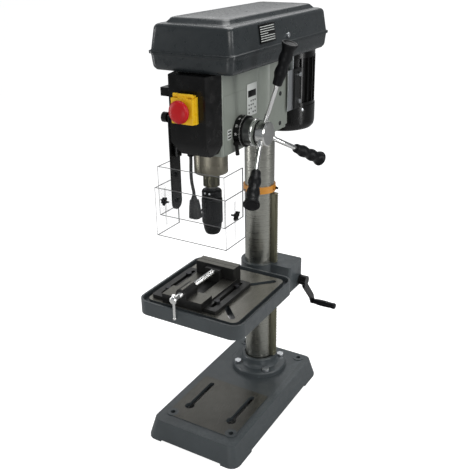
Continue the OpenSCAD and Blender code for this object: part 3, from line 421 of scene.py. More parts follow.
def smooth_profile(pairs, per=6):
    return [(max(p.x, 0.00005), p.y) for p in smooth_path([(a, b, 0) for a, b in pairs], per)]


def rod(a, b, r, steps=32, bevel=0.0004):
    """Round bar between two points with eased ends."""
    a, b = Vector(a), Vector(b)
    h = (b - a).length
    e = min(bevel, r * 0.4)
    profile = [(r - e, 0), (r - e * 0.3, e * 0.3), (r, e), (r, h - e), (r - e * 0.3, h - e * 0.3), (r - e, h)]
    return moved(lathe(profile, steps), along(b - a, a))


def soften(node, width, segments=2, finish=None, angle=32):
    """Eases the edges of a carried-over solid and gives it its finish."""
    obj = NODES[node]
    mesh = obj.data
    if "custom_normal" in mesh.attributes:
        mesh.attributes.remove(mesh.attributes["custom_normal"])
    mesh.polygons.foreach_set("use_smooth", [True] * len(mesh.polygons))
    weld = obj.modifiers.new("Weld", "WELD")
    weld.merge_threshold = 0.00001
    if width:
        flat = obj.modifiers.new("Planes", "DECIMATE")
        flat.decimate_type = "DISSOLVE"
        flat.angle_limit = radians(0.4)
        ease = obj.modifiers.new("Eased edges", "BEVEL")
        ease.width = width
        ease.segments = segments
        ease.limit_method = "ANGLE"
        ease.angle_limit = radians(angle)
        ease.harden_normals = True
        ease.use_clamp_overlap = True
        ease.miter_outer = "MITER_ARC"
    normals = obj.modifiers.new("Normals", "WEIGHTED_NORMAL")
    normals.keep_sharp = True
    if finish:
        dress(node, finish)
    return obj


def dress(node, finish):
    """Gives a carried-over solid one finish."""
    mesh = NODES[node].data
    mesh.materials.clear()
    mesh.materials.append(FINISH[finish])


# ---------------------------------------------------------------- settings
class DrillPressLook(bpy.types.PropertyGroup):
    """Colours of the machine's finishes."""
    casting_colour: bpy.props.FloatVectorProperty(
        name="Castings", description="Enamel of base, table and belt cover", size=3, subtype="COLOR",
        min=0, max=1, default=(0.042, 0.050, 0.054))
    head_colour: bpy.props.FloatVectorProperty(
        name="Head", description="Enamel of the head casting", size=3, subtype="COLOR",
        min=0, max=1, default=(0.215, 0.235, 0.208))
    table_metal: bpy.props.FloatVectorProperty(
        name="Ground metal", description="Bare metal of the table top", size=3, subtype="COLOR",
        min=0, max=1, default=(0.22, 0.215, 0.19))
    shield_alpha: bpy.props.FloatProperty(
        name="Shield density", description="How much the clear shields show", default=0.03, min=0.01, max=1,
        subtype="FACTOR")


class DrillPressSizes(bpy.types.PropertyGroup):
    """Sizes of the fine pieces."""
    cast_edge: bpy.props.FloatProperty(
        name="Cast edge", description="Round on the edges of castings", default=1.6 * MM, min=0.0002, max=0.004,
        unit="LENGTH", subtype="DISTANCE")
    sheet_edge: bpy.props.FloatProperty(
        name="Machined edge", description="Round on machined edges", default=0.5 * MM, min=0.0001, max=0.002,
        unit="LENGTH", subtype="DISTANCE")
    cord_width: bpy.props.FloatProperty(
        name="Cord", description="Diameter of the power cord", default=7 * MM, min=0.004, max=0.010,
        unit="LENGTH", subtype="DISTANCE")
    key_light: bpy.props.FloatProperty(
        name="Key light", description="Power of the main soft light", default=24, min=0, max=500, unit="POWER")
    fill_light: bpy.props.FloatProperty(
        name="Fill light", description="Power of the side soft lights", default=20, min=0, max=500, unit="POWER")
    room_light: bpy.props.FloatProperty(
        name="Room light", description="Strength of the even light around", default=0.30, min=0, max=3)


# ---------------------------------------------------------------- stage
class DP_OT_stage(bpy.types.Operator):
    """Sets up the camera, the pale floor and the soft studio lights"""
    bl_idname = "drillpress.stage"
    bl_label = "Camera and stage"

    def execute(self, context):
        scene = context.scene
        sizes = scene.drill_press_sizes
        lens = bpy.data.cameras.new("Camera")
        lens.sensor_width = 36
        lens.lens = 52.88
        lens.clip_start = 0.05
        camera = bpy.data.objects.new("Camera", lens)
        yaw, pitch, roll = radians(-30.539), radians(23.318), radians(-0.771)
        ahead = Vector((sin(yaw) * cos(pitch), cos(yaw) * cos(pitch), -sin(pitch)))
        right = Vector((cos(yaw), -sin(yaw), 0))
        up = right.cross(ahead)
        across = right * cos(roll) + up * sin(roll)
        up = -right * sin(roll) + up * cos(roll)
        turn = Matrix((across, up, -ahead)).transposed().to_4x4()
        camera.matrix_world = Matrix.Translation((0.76324, -1.30571, 1.12851)) @ turn
        scene.collection.objects.link(camera)
        scene.camera = camera

        world = bpy.data.worlds.new("Studio")
        world.use_nodes = True
        tree = world.node_tree
        room = tree.nodes["Background"]
        room.inputs[0].default_value = (0.92, 0.96, 1.0, 1)
        room.inputs[1].default_value = sizes.room_light
        paper = tree.nodes.new("ShaderNodeBackground")
        paper.inputs[0].default_value = (1, 1, 1, 1)
        seen = tree.nodes.new("ShaderNodeLightPath").outputs["Is Camera Ray"]
        both = tree.nodes.new("ShaderNodeMixShader")
        tree.links.new(seen, both.inputs[0])
        tree.links.new(room.outputs[0], both.inputs[1])
        tree.links.new(paper.outputs[0], both.inputs[2])
        tree.links.new(both.outputs[0], tree.nodes["World Output"].inputs[0])
        scene.world = world
        scene.view_settings.view_transform = "Standard"

        p = Paint("Pale floor", (0.45, 0.45, 0.45), 0.8)
        p.tint(p.mix(p.noise(6, 3), (0.44, 0.44, 0.44), (0.47, 0.47, 0.47)))
        p.bump(p.noise(300, 3), 0.0001, 0.1)
        low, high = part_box("base")
        # painted shadow: the floor's camera-only glow is left out inside the base's footprint, so the floor under
        # the base stays darker
        under = p.math("MULTIPLY", p.level(0, low.x + 0.006, high.x - 0.006),
                       p.level(1, low.y + 0.006, high.y - 0.006))
        lit = p.math("MULTIPLY", p.math("SUBTRACT", 1.0, under), 0.86)
        glow = p.node("ShaderNodeEmission", Color=(1, 1, 1, 1), Strength=lit)
        add = p.tree.nodes.new("ShaderNodeAddShader")
        pick = p.tree.nodes.new("ShaderNodeMixShader")
        p.feed(pick.inputs[0], p.tree.nodes.new("ShaderNodeLightPath").outputs["Is Camera Ray"])
        p.feed(add.inputs[0], p.shader.outputs[0])
        p.feed(add.inputs[1], glow.outputs[0])
        p.feed(pick.inputs[1], p.shader.outputs[0])
        p.feed(pick.inputs[2], add.outputs[0])
        p.feed(p.tree.nodes["Material Output"].inputs[0], pick.outputs[0])
        loops = []
        for k in range(13):
            t = radians(90 * k / 12)
            loops.append([Vector((x, 2.2 + 1.2 * sin(t), 1.2 - 1.2 * cos(t))) for x in (-6, 6)])
        loops = [[Vector((x, -5, 0)) for x in (-6, 6)]] + loops + [[Vector((x, 3.4, 6)) for x in (-6, 6)]]
        points = [q for loop in loops for q in loop]
        faces = [(2 * i, 2 * i + 1, 2 * i + 3, 2 * i + 2) for i in range(len(loops) - 1)]
        FINISH["floor"] = p.mat
        make_object("Floor sweep", points, faces, "floor", None, 60)

        def soft_light(name, at, aim, size, power, tone=(1, 1, 1)):
            light = bpy.data.lights.new(name, "AREA")
            light.shape = "RECTANGLE"
            light.size, light.size_y = size
            light.energy = power
            light.color = tone
            obj = bpy.data.objects.new(name, light)
            obj.location = at
            obj.rotation_euler = (Vector(aim) - Vector(at)).to_track_quat("-Z", "Y").to_euler()
            scene.collection.objects.link(obj)

        aim = (0, 0, 0.55)
        soft_light("Key", (1.8, -1.5, 1.9), aim, (0.9, 1.4), sizes.key_light, (1, 0.985, 0.96))
        soft_light("Left box", (-1.9, -0.9, 0.8), aim, (0.35, 1.7), sizes.fill_light * 0.8)
        soft_light("Low box", (0.3, -2.2, 0.35), (0, 0, 0.1), (1.2, 0.4), sizes.fill_light * 0.35)
        soft_light("Right box", (2.0, 0.3, 1.1), aim, (0.35, 1.9), sizes.fill_light * 0.8)
        soft_light("Top box", (-0.1, 0.7, 2.5), (0, 0, 0.8), (1.5, 1.5), sizes.fill_light * 1.8)
        soft_light("Back box", (-0.9, 1.6, 1.75), (0, 0, 1.0), (1.5, 0.8), sizes.fill_light * 0.24)
        return {"FINISHED"}


class DP_OT_cord(bpy.types.Operator):
    """Makes the power cord, its strain relief and the ribs of the plug"""
    bl_idname = "drillpress.cord"
    bl_label = "Power cord"

    def execute(self, context):
        d = context.scene.drill_press_sizes.cord_width
        route = [(-17, -160, 711.7), (-17, -160, 700), (-17.6, -160, 688), (-17.9, -160, 676), (-17.6, -160, 664),
                 (-16.6, -160, 653), (-14.6, -160, 643), (-13, -160, 636), (-12.5, -160, 631), (-12.5, -160, 625.7)]
        route = smooth_path([Vector(p) * MM for p in route], 4)
        loops = []
        for i, p in enumerate(route):
            t = (route[min(i + 1, len(route) - 1)] - route[max(i - 1, 0)]).normalized()
            side = t.cross(Vector((0, 1, 0))).normalized()
            other = t.cross(side)
            loops.append([p + d / 2 * (side * cos(tau * k / 20) + other * sin(tau * k / 20)) for k in range(20)])
        points, faces = loft(loops)
        cord = make_object("Power cord sheath", points, faces, "cord", "frame", 40, "cord_rubber")
        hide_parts("power_cord")
        low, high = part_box("cord_gland")
        c = (low + high) / 2
        profile = [(7.5, 7.0), (7.5, 5.5), (6.6, 5.0), (6.6, 3.8), (7.2, 3.4), (7.2, 2.2), (6.0, 1.8), (6.0, 0.6),
                   (3.7, 0.05)]
        relief = moved(lathe(in_metres(profile), 40), Matrix.Translation((c.x, c.y, low.z)))
        nut = moved(lathe([(6.0 * MM, 7.0 * MM), (6.0 * MM, (high.z - low.z) - 0.0001)], 40),
                    Matrix.Translation((c.x, c.y, low.z)))
        gland = make_object("Strain relief", *join_parts([relief, nut]), "plastic", "frame", 30, "black_plastic")
        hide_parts("cord_gland")
        soften("power_plug", 0.0006, 2, "cord")
        ribs = []
        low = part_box("power_plug")[0]
        for z in (0.5840, 0.5895, 0.5950):
            front = low.y + (z - 0.580) * 0.105
            ribs.append(block((-0.0170, front - 0.0008, z - 0.0009), (-0.0045, front + 0.0020, z + 0.0009), 0.0005))
        make_object("Plug ribs", *join_parts(ribs), "cord", "frame", slot="cord_rubber")
        return {"FINISHED"}


# ---------------------------------------------------------------- pieces
class DP_OT_castings(bpy.types.Operator):
    """Finishes the base, the column, its rack, the bracket and the table"""
    bl_idname = "drillpress.castings"
    bl_label = "Base, column and table"

    def execute(self, context):
        edge = context.scene.drill_press_sizes.cast_edge
        fine = context.scene.drill_press_sizes.sheet_edge
        soften("base", edge, 3, "base")
        soften("column_flange", fine * 1.6, 2, "cast")
        soften("flange_bolts", fine, 2, "zinc")
        soften("column", 0, 0, "column")
        soften("column_rack", 0.0002, 1, "rack")
        soften("rack_collar", fine, 2, "orange")
        soften("set_screws", fine * 0.6, 2, "oxide")
        soften("table_bracket", edge, 3, "cast")
        soften("tilt_bolt", fine, 2, "zinc")
        soften("bracket_lock_lever", fine, 2, "oxide")
        soften("work_table", edge, 3, "table")
        walls = []
        for a in (45, -45):
            turn = Matrix.Translation((0, -0.0965, 0)) @ Matrix.Rotation(radians(a), 4, "Z")
            for w, sign in ((6.55, 1), (6.55, -1)):
                y0, y1 = sorted((sign * w * MM, sign * (w + 3) * MM))
                walls.append(moved(block((0.071, y0, 0.3440), (0.146, y1, 0.3662), 0.0008), turn))
            for q in (0.0710, 0.1435):
                walls.append(moved(block((q, -0.0067, 0.3440), (q + 0.0030, 0.0067, 0.3662), 0.0008), turn))
        make_object("Table slot walls", *join_parts(walls), "cast", "table", slot="cast_paint")
        soften("lift_gear", 0.0002, 1, "steel")
        soften("worm_shaft", 0, 0, "steel")
        soften("table_crank", fine * 2, 2, "black")
        low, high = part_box("crank_grip")
        c = (low + high) / 2
        pairs = [(5.4, 7.0), (6.6, 8.0), (6.9, 12), (7.8, 20), (8.3, 32), (8.2, 44), (7.5, 56), (7.9, 62),
                 (7.6, 66.5),
                 (5.5, 68.8), (0.1, 69.0)]
        grip = moved(lathe(smooth_profile(in_metres(pairs), 4), 48), along((1, 0, 0), (low.x, c.y, c.z)))
        pin = rod((low.x, c.y, c.z), (low.x + 0.0075, c.y, c.z), 0.0039)
        handle = make_object("Crank grip", *grip, "grip", "crank_handle", 40, "black_plastic")
        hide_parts("crank_grip")
        make_object("Crank grip pin", *pin, "chrome", "crank_handle", 40, slot="chrome")
        return {"FINISHED"}


class DP_OT_head(bpy.types.Operator):
    """Finishes the head casting, the front cover and their plates"""
    bl_idname = "drillpress.head"
    bl_label = "Head and cover"

    def execute(self, context):
        fine = context.scene.drill_press_sizes.sheet_edge
        soften("head_casting", fine * 2.4, 3, "head")
        soften("front_cover", fine * 4, 3, "black")
        soften("guard_bracket", fine * 2, 2, "black")
        soften("spring_cap", fine * 2, 3, "plastic")
        soften("return_spring", 0, 0, "steel")
        x = 0.0538  # the casting's right-hand face
        # speed chart: plate, dark heading and rows of small marks
        chart = [block((x, -0.046, 0.778), (x + 0.0004, -0.004, 0.846), 0.0001)]
        make_object("Speed chart plate", *join_parts(chart), "label", "frame", slot="zinc")
        marks = [block((x + 0.0003, -0.042, 0.818), (x + 0.0006, -0.008, 0.832), 0.0001)]
        for i in range(4):
            for k in range(4):
                if (i * 3 + k * 5) % 4 == 3:
                    continue
                y, z = -0.040 + i * 0.0088, 0.783 + k * 0.0082
                marks.append(block((x + 0.0003, y, z), (x + 0.0006, y + 0.0042, z + 0.0034), 0.0001))
        make_object("Speed chart marks", *join_parts(marks), "plastic", "frame", slot="black_plastic")
        y, z = FEED.y, FEED.z
        turned = [(28.05, 54.8), (28.6, 55.2), (28.6, 74.6), (28.1, 75.0), (28.1, 76.0), (28.6, 76.4),
                  (28.6, 89.0), (28.2, 89.4)]
        sleeve = moved(lathe(in_metres(turned), 96, close=False), along((1, 0, 0), (0, y, z)))
        make_object("Feed boss sleeve", *sleeve, "blued", "frame", 25, slot="machined")
        collar = [(28.0, 89.4), (29.4, 89.8), (29.6, 90.4), (29.6, 93.4), (29.2, 94.0), (27.0, 94.2), (26.2, 94.2)]
        collar = moved(lathe(in_metres(collar), 96, close=False), along((1, 0, 0), (0, y, z)))
        make_object("Feed boss collar", *collar, "chrome", "frame", 30, slot="chrome")
        turned = [(19.0, 0.3), (35.0, 0.0), (36.1, 0.5), (36.5, 1.2), (36.5, 22.0), (36.2, 22.4), (36.2, 24.0),
                  (36.5, 24.4),
                  (36.5, 45.6), (36.1, 46.0)]
        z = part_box("head_casting")[0].z
        sleeve = moved(lathe([(a * MM, b * MM - 0.0004) for a, b in turned], 128, close=False),
                       Matrix.Translation((SPINDLE.x, SPINDLE.y, z)))
        make_object("Quill boss skin", *sleeve, "boss", "frame", 30, slot="machined")
        sign = [block((x, -0.128, 0.746), (x + 0.0004, -0.112, 0.768), 0.0001)]
        make_object("Rotation plate", *join_parts(sign), "label", "frame", slot="zinc")
        bars = [block((x + 0.0003, -0.126, z), (x + 0.0006, -0.114, z + 0.0028), 0.0001)
                for z in (0.749, 0.7555, 0.762)]
        make_object("Rotation plate bars", *join_parts(bars), "plastic", "frame", slot="black_plastic")
        return {"FINISHED"}


class DP_OT_cover(bpy.types.Operator):
    """Builds the rounded belt lid and finishes the tray and the belt drive"""
    bl_idname = "drillpress.cover"
    bl_label = "Belt cover and drive"

    def execute(self, context):
        fine = context.scene.drill_press_sizes.sheet_edge
        soften("belt_tray", fine * 0.8, 2, "lid")
        low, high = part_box("belt_tray")
        skirt = [(3.0, 31.2), (3.3, 29.5), (4.0, 22.0), (5.0, 11.0), (5.6, 7.0), (6.6, 4.0), (8.4, 1.8),
                 (10.8, 0.6), (13.0, 0.3)]
        rings = [rounded_loop(a - 0.1, 0.1 - a, low.y + a, high.y - a, 0.887 + b, 0.014, 8) for a,
                 b in in_metres(skirt)]
        make_object("Tray skirt", *loft(rings, False, False), "lid", "frame", 50, slot="cast_paint")
        low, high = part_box("belt_lid")
        x, y0, y1 = 0.099, low.y, high.y
        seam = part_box("belt_tray")[1].z - 0.0029
        top, edge = high.z, high.z - 0.013

        def ring(inset, z, r=0.014, front=None, back=None):
            f = inset if front is None else front
            b = inset if back is None else back
            return rounded_loop(-x + inset, x - inset, y0 + f, y1 - b, z, r, 8)

        outer = [ring(-0.0006, seam), ring(-0.0010, seam + 0.0004), ring(-0.0010, seam + 0.0012),
                 ring(-0.0004, seam + 0.0020),
                 ring(0.0014, seam + 0.0026), ring(0.0026, seam + 0.0038)]
        outer += [ring(0.0078, edge - 0.0085), ring(0.0088, edge - 0.0050), ring(0.0106, edge - 0.0022),
                  ring(0.0132, edge - 0.0004),
                  ring(0.0162, edge + 0.0006)]
        outer += [ring(0.0222, edge + 0.0012, 0.013), ring(0.0250, edge + 0.0018, 0.013, 0.026, 0.026),
                  ring(0.0266, edge + 0.0034, 0.013, 0.028, 0.028)]
        outer += [ring(0.0300, top - 0.0052, 0.013, 0.033, 0.034), ring(0.0312, top - 0.0034, 0.012, 0.035, 0.036),
                  ring(0.0332, top - 0.0020, 0.012, 0.038, 0.039), ring(0.0365, top - 0.0012, 0.011, 0.042, 0.043),
                  ring(0.0600, top - 0.0003, 0.010, 0.070, 0.072), ring(0.0750, top, 0.008, 0.095, 0.098)]
        inner = [ring(0.0600, top - 0.0028, 0.008, 0.070, 0.072), ring(0.0330, top - 0.0055, 0.010, 0.038, 0.040),
                 ring(0.0280, edge - 0.0012, 0.010, 0.030, 0.030), ring(0.0125, edge - 0.0050, 0.010),
                 ring(0.0048, seam + 0.0080, 0.010),
                 ring(0.0026, seam, 0.010)]
        points, faces = loft(outer)
        del faces[-2]
        more, extra = loft(inner, True, False)
        k = len(points)
        n = len(outer[0])
        points += more
        faces += [tuple(i + k for i in f) for f in extra]
        last = k + (len(inner) - 1) * n
        faces += [(i, (i + 1) % n, last + (i + 1) % n, last + i) for i in range(n)]
        lid = make_object("Belt lid shell", points, faces, "lid", "lid", 50, "cast_paint")
        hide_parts("belt_lid")
        knuckles = []
        for y in (-0.060, 0.160):
            knuckles.append(rod((-0.103, y - 0.0045, 0.922), (-0.103, y + 0.0045, 0.922), 0.0032))
            knuckles.append(rod((-0.103, y - 0.013, 0.922), (-0.103, y + 0.013, 0.922), 0.0015, 20))
            knuckles.append(block((-0.104, y - 0.0045, 0.9236), (-0.0955, y + 0.0045, 0.9263), 0.0005))
        make_object("Lid knuckles", *join_parts(knuckles), "lid", "lid", slot="cast_paint")
        screw = rod((0.088, 0.058, 0.937), (0.0990, 0.058, 0.937), 0.0042)
        slotted = rod((0.0960, 0.058, 0.937), (0.0995, 0.058, 0.937), 0.0052, 32, 0.0008)
        make_object("Lid screw", *join_parts([screw, slotted]), "zinc", "lid", 40, slot="zinc")

        # striped notice on the sloping side
        lean = atan2(0.0052, 0.037)
        plate, lines = [], []
        tilt = Matrix.Translation((0.0973, -0.033, 0.9335)) @ Matrix.Rotation(-lean, 4, "Y")
        plate.append(moved(block((-0.0006, -0.033, 0), (0.0004, 0.033, 0.037), 0.0001), tilt))
        for k in range(7):
            z = 0.0035 + k * 0.0046
            w = 0.030 if k != 3 else 0.016
            lines.append(moved(block((0.0002, -0.030, z), (0.0007, -0.030 + 2 * w, z + 0.0015), 0.0001), tilt))
        make_object("Notice plate", *join_parts(plate), "plastic", "lid", slot="black_plastic")
        make_object("Notice lines", *join_parts(lines), "label", "lid", slot="zinc")
        for node in ("spindle_pulley", "idler_pulley", "motor_pulley"):
            soften(node, 0, 0, "aluminium")
        soften("idler_arm", fine, 2, "zinc")
        soften("v_belts", 0, 0, "rubber")
        return {"FINISHED"}


class DP_OT_switch(bpy.types.Operator):
    """Finishes the switch box, its flap, the stop mushroom and the keys"""
    bl_idname = "drillpress.switch"
    bl_label = "Switch"

    def execute(self, context):
        soften("switch_box", 0.0012, 3, "yellow")
        soften("switch_flap", 0.0014, 3, "yellow")
        soften("start_button", 0.0008, 3, "green")
        soften("stop_button", 0.0008, 3, "red")
        low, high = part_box("emergency_button")
        c = (low + high) / 2
        pairs = [(8.0, 0), (8.0, 10.8), (19.0, 10.9), (21.4, 11.6), (22.8, 13.2), (23.0, 15.2), (22.4, 17.4),
                 (20.6, 19.8),
                 (17.5, 21.8), (13.0, 23.2), (7.0, 23.8), (0.1, 24.0)]
        head = [(r * MM, z * MM * (high.y - low.y) / 0.024) for r, z in pairs]
        profile = head[:2] + smooth_profile(head[2:], 3)
        cap = moved(lathe(profile, 72), along((0, -1, 0), (c.x, high.y, c.z)))
        button = make_object("Stop mushroom", *cap, "red", "stop_mushroom", 35, "red_plastic")
        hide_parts("emergency_button")
        return {"FINISHED"}


class DP_OT_feed(bpy.types.Operator):
    """Builds the spokes, wavy grips, hub and depth ring with its scale"""
    bl_idname = "drillpress.feed"
    bl_label = "Feed spokes and depth ring"

    def execute(self, context):
        lean, first = radians(19), 91
        grip_from, grip_to = 0.103, 0.186
        start = Vector((0.104, FEED.y, FEED.z))
        reach = grip_to / cos(lean)
        grips, bars, threads = [], [], []
        wave = [(8.2, 0), (9.6, 1.2), (10.2, 5), (10.4, 11), (11.4, 17), (12.9, 23), (12.9, 30), (11.6, 36),
                (10.9, 41), (11.6, 46),
                (13.1, 52), (13.4, 58), (12.5, 64), (12.1, 69), (13.2, 75), (15.6, 81), (16.4, 84.5),
                (16.3, 86.4), (15.3, 87.4),
                (13.8, 87.2), (11.0, 85.2), (6.0, 84.4), (0.1, 84.2)]
        length = (grip_to - grip_from) / cos(lean)
        k = length / 0.0878
        profile = smooth_profile([(r * MM, z * MM * k) for r, z in wave], 3)
        for n in range(3):
            a = radians(first - 120 * n)
            out = Vector((sin(lean), cos(lean) * cos(a), cos(lean) * sin(a)))
            grips.append(moved(lathe(profile, 48), along(out, start + out * (grip_from / cos(lean)))))
            bars.append(rod(start + out * 0.0145, start + out * (reach - 0.016), 0.005, 32, 0.0006))
            turns = [(5.0 + 0.35 * (1 if i % 2 else -1), 24 + i * 0.55) for i in range(36)]
            threads.append(moved(lathe(in_metres(turns), 32), along(out, start)))
        grip = make_object("Feed grips", *join_parts(grips), "grip", "feed", 45, "black_plastic")
        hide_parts("feed_grips")
        spokes = make_object("Feed spokes", *join_parts(bars), "chrome", "feed", 40, "chrome")
        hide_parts("feed_spokes")
        make_object("Spoke threads", *join_parts(threads), "chrome", "feed", 20, slot="chrome")
        soften("feed_hub", 0.0006, 3, "turned x")
        soften("feed_shaft", 0, 0, "steel")
        ring = [(25.2, 98.0), (25.9, 98.3), (26.0, 99.0), (26.0, 100.6), (25.9, 101.3), (25.2, 101.6)]
        ring = moved(lathe(in_metres(ring), 96, close=False), along((1, 0, 0), (0, FEED.y, FEED.z)))
        make_object("Hub seal ring", *ring, "plastic", "feed", slot="black_plastic")
        soften("depth_ring", 0.0006, 2, "plastic")
        soften("depth_lock_lever", 0.0004, 2, "plastic")
        low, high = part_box("depth_ring")
        r = (high.z - low.z) / 2
        ticks = []
        for k in range(72):
            a = tau * k / 72
            size = 0.0045 if k % 6 == 0 else 0.0026
            m = Matrix.Translation((0, FEED.y, FEED.z)) @ Matrix.Rotation(a, 4, "X")
            tick = block((high.x - 0.0012 - size, -0.00022, r - 0.0002), (high.x - 0.0012, 0.00022, r + 0.00012), 0)
            ticks.append(moved(tick, m))
        for k in range(12):
            curve = bpy.data.curves.new("Figure", "FONT")
            curve.body = str(k * 10)
            curve.size = 0.0062
            curve.align_x = "CENTER"
            curve.align_y = "CENTER"
            curve.extrude = 0.0001
            text = bpy.data.objects.new("Figure", curve)
            context.scene.collection.objects.link(text)
            context.view_layer.update()
            mesh = bpy.data.meshes.new_from_object(text.evaluated_get(context.evaluated_depsgraph_get()))
            part = [v.co.copy() for v in mesh.vertices], [tuple(p.vertices) for p in mesh.polygons]
            bpy.data.objects.remove(text)
            bpy.data.meshes.remove(mesh)
            stand = Matrix(((0, -1, 0, 0), (1, 0, 0, 0), (0, 0, 1, 0), (0, 0, 0, 1)))
            m = (Matrix.Translation((0, FEED.y, FEED.z)) @ Matrix.Rotation(tau * k / 12, 4, "X")
                 @ Matrix.Translation(((low.x + high.x) / 2 - 0.002, 0, r)) @ stand)
            ticks.append(moved(part, m))
        make_object("Depth scale", *join_parts(ticks), "white", "depth_dial", slot="black_plastic")
        return {"FINISHED"}


class DP_OT_chuck(bpy.types.Operator):
    """Builds the gripped chuck sleeve and finishes the quill and spindle"""
    bl_idname = "drillpress.chuck"
    bl_label = "Quill and chuck"

    def execute(self, context):
        soften("quill", 0.0004, 2, "quill")
        soften("spindle", 0.0004, 2, "steel")
        soften("chuck_jaws", 0.0003, 1, "oxide")
        soften("chuck_body", 0.0006, 2, "plastic")
        low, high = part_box("chuck_sleeve")
        r = (high.x - low.x) / 2
        h = high.z - low.z

        def flutes(a, z):
            """Shallow grip flutes, fading out at both ends of the straight part."""
            t = (z - (low.z + 0.030)) / (h - 0.036)
            fade = max(0.0, min(1.0, min(t, 1 - t) * 8))
            return -0.0007 * fade * max(0.0, cos(a * 18)) ** 2

        z0, z1 = low.z, high.z
        pairs = [(12.4, 0), (13.4, 0.1), (14.8, 1.0), (16.8, 4.0), (18.4, 8.5), (19.6, 14), (20.2, 19),
                 (20.4, 23.6)]
        profile = smooth_profile([(a * MM, z0 + b * MM) for a, b in pairs], 4)
        profile += [(20.5 * MM, z0 + 24.4 * MM), (21.9 * MM, z0 + 25.6 * MM), (22.7 * MM, z0 + 27.0 * MM),
                    (r - 0.0001, z0 + 29.0 * MM)]
        profile += [(r, z0 + 0.030 + (h - 0.034) * k / 16) for k in range(1, 17)]
        profile += [(r - 0.0006, z1 - 0.0026), (r - 0.0012, z1 - 0.0008), (r - 0.0024, z1), (r - 0.0041, z1)]
        profile += [(r - 0.0041, z0 + 0.0194), (0.0124, z0 + 0.0190)]
        steps = 216
        points, faces = moved(lathe(profile, steps, flutes, False), Matrix.Translation((SPINDLE.x, SPINDLE.y, 0)))
        last = (len(profile) - 1) * steps
        faces += [(k, (k + 1) % steps, last + (k + 1) % steps, last + k) for k in range(steps)]
        piece = make_object("Chuck sleeve", points, faces, "plastic", "sleeve", 40, "black_plastic")
        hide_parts("chuck_sleeve")
        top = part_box("chuck_body")[1].z
        dots = []
        for a in (-100, -72):
            out = Vector((cos(radians(a)), sin(radians(a)), 0))
            c = Vector((SPINDLE.x, SPINDLE.y, top - 0.0055))
            dots.append(rod(c + out * (r - 0.0030), c + out * (r - 0.0006), 0.0022, 20, 0.0005))
        make_object("Chuck wrench dots", *join_parts(dots), "zinc", "spindle_rod", 40, slot="zinc")
        return {"FINISHED"}


class DP_OT_guard(bpy.types.Operator):
    """Builds the clear shields with cut edges, the arm and the wing screws"""
    bl_idname = "drillpress.guard"
    bl_label = "Chuck guard"

    def shield(self, node, body, name):
        low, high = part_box(node)
        t = 0.0025
        left = block(low, (low.x + t, high.y, high.z), 0)
        right = block((high.x - t, low.y, low.z), high, 0)
        front = block((low.x + t, low.y, low.z), (high.x - t, low.y + t, high.z), 0)
        sheet = make_object(name, *join_parts([left, right, front]), "clear", body, 30, "clear_plastic")
        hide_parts(node)
        e = 0.0007
        beads = []
        for z in (low.z, high.z):
            s = 0 if z == low.z else -e
            beads.append(block((low.x, low.y, z + s), (high.x, low.y + t, z + s + e), 0))
            for x in (low.x, high.x - t):
                beads.append(block((x, low.y + t, z + s), (x + t, high.y, z + s + e), 0))
        for x in (low.x, high.x - t):
            beads.append(block((x, high.y - e, low.z + e), (x + t, high.y, high.z - e), 0))
            beads.append(block((x + (0 if x == low.x else t - e), low.y, low.z + e),
                               (x + (e if x == low.x else t), low.y + e, high.z - e), 0))
        make_object(name + " cut edges", *join_parts(beads), "frosted", body, slot="clear_plastic")
        return low, high

    def execute(self, context):
        fine = context.scene.drill_press_sizes.sheet_edge
        soften("guard_arm", fine * 2, 2, "black")
        self.shield("guard_upper", "guard", "Upper shield")
        low, high = self.shield("guard_lower", "lower_shield", "Lower shield")
        c = centre("guard_wing_screws")
        slots, knobs = [], []
        for s in (-1, 1):
            x = s * high.x
            a, b = sorted((x + s * 0.0001, x + s * 0.0003))
            slots.append(block((a, c.y - 0.0022, low.z + 0.012), (b, c.y - 0.0014, high.z - 0.012), 0))
            slots.append(block((a, c.y + 0.0014, low.z + 0.012), (b, c.y + 0.0022, high.z - 0.012), 0))
            star = [(2.0, 0), (7.5, 0.2), (8.6, 1.4), (8.6, 4.0), (7.4, 5.4), (3.0, 6.0), (0.1, 6.1)]
            star = lathe(in_metres(star), 60, lambda a, z: 0.0016 * cos(5 * a) if z > 0.0001 else 0)
            knobs.append(moved(star, along((s, 0, 0), (x + s * 0.0006, c.y, c.z))))
            knobs.append(rod((x - s * 0.0088, c.y, c.z), (x + s * 0.0010, c.y, c.z), 0.002, 20))
            wing = block((-0.0115, -0.0016, 0.0015), (0.0115, 0.0016, 0.0075), 0.001)
            knobs.append(moved(wing, along((s, 0, 0), (x, c.y, c.z), radians(35))))
        make_object("Slot edges", *join_parts(slots), "frosted", "lower_shield", slot="clear_plastic")
        knob = make_object("Shield wing screws", *join_parts(knobs), "plastic", "wing_screws", 40, "black_plastic")
        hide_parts("guard_wing_screws")
        return {"FINISHED"}


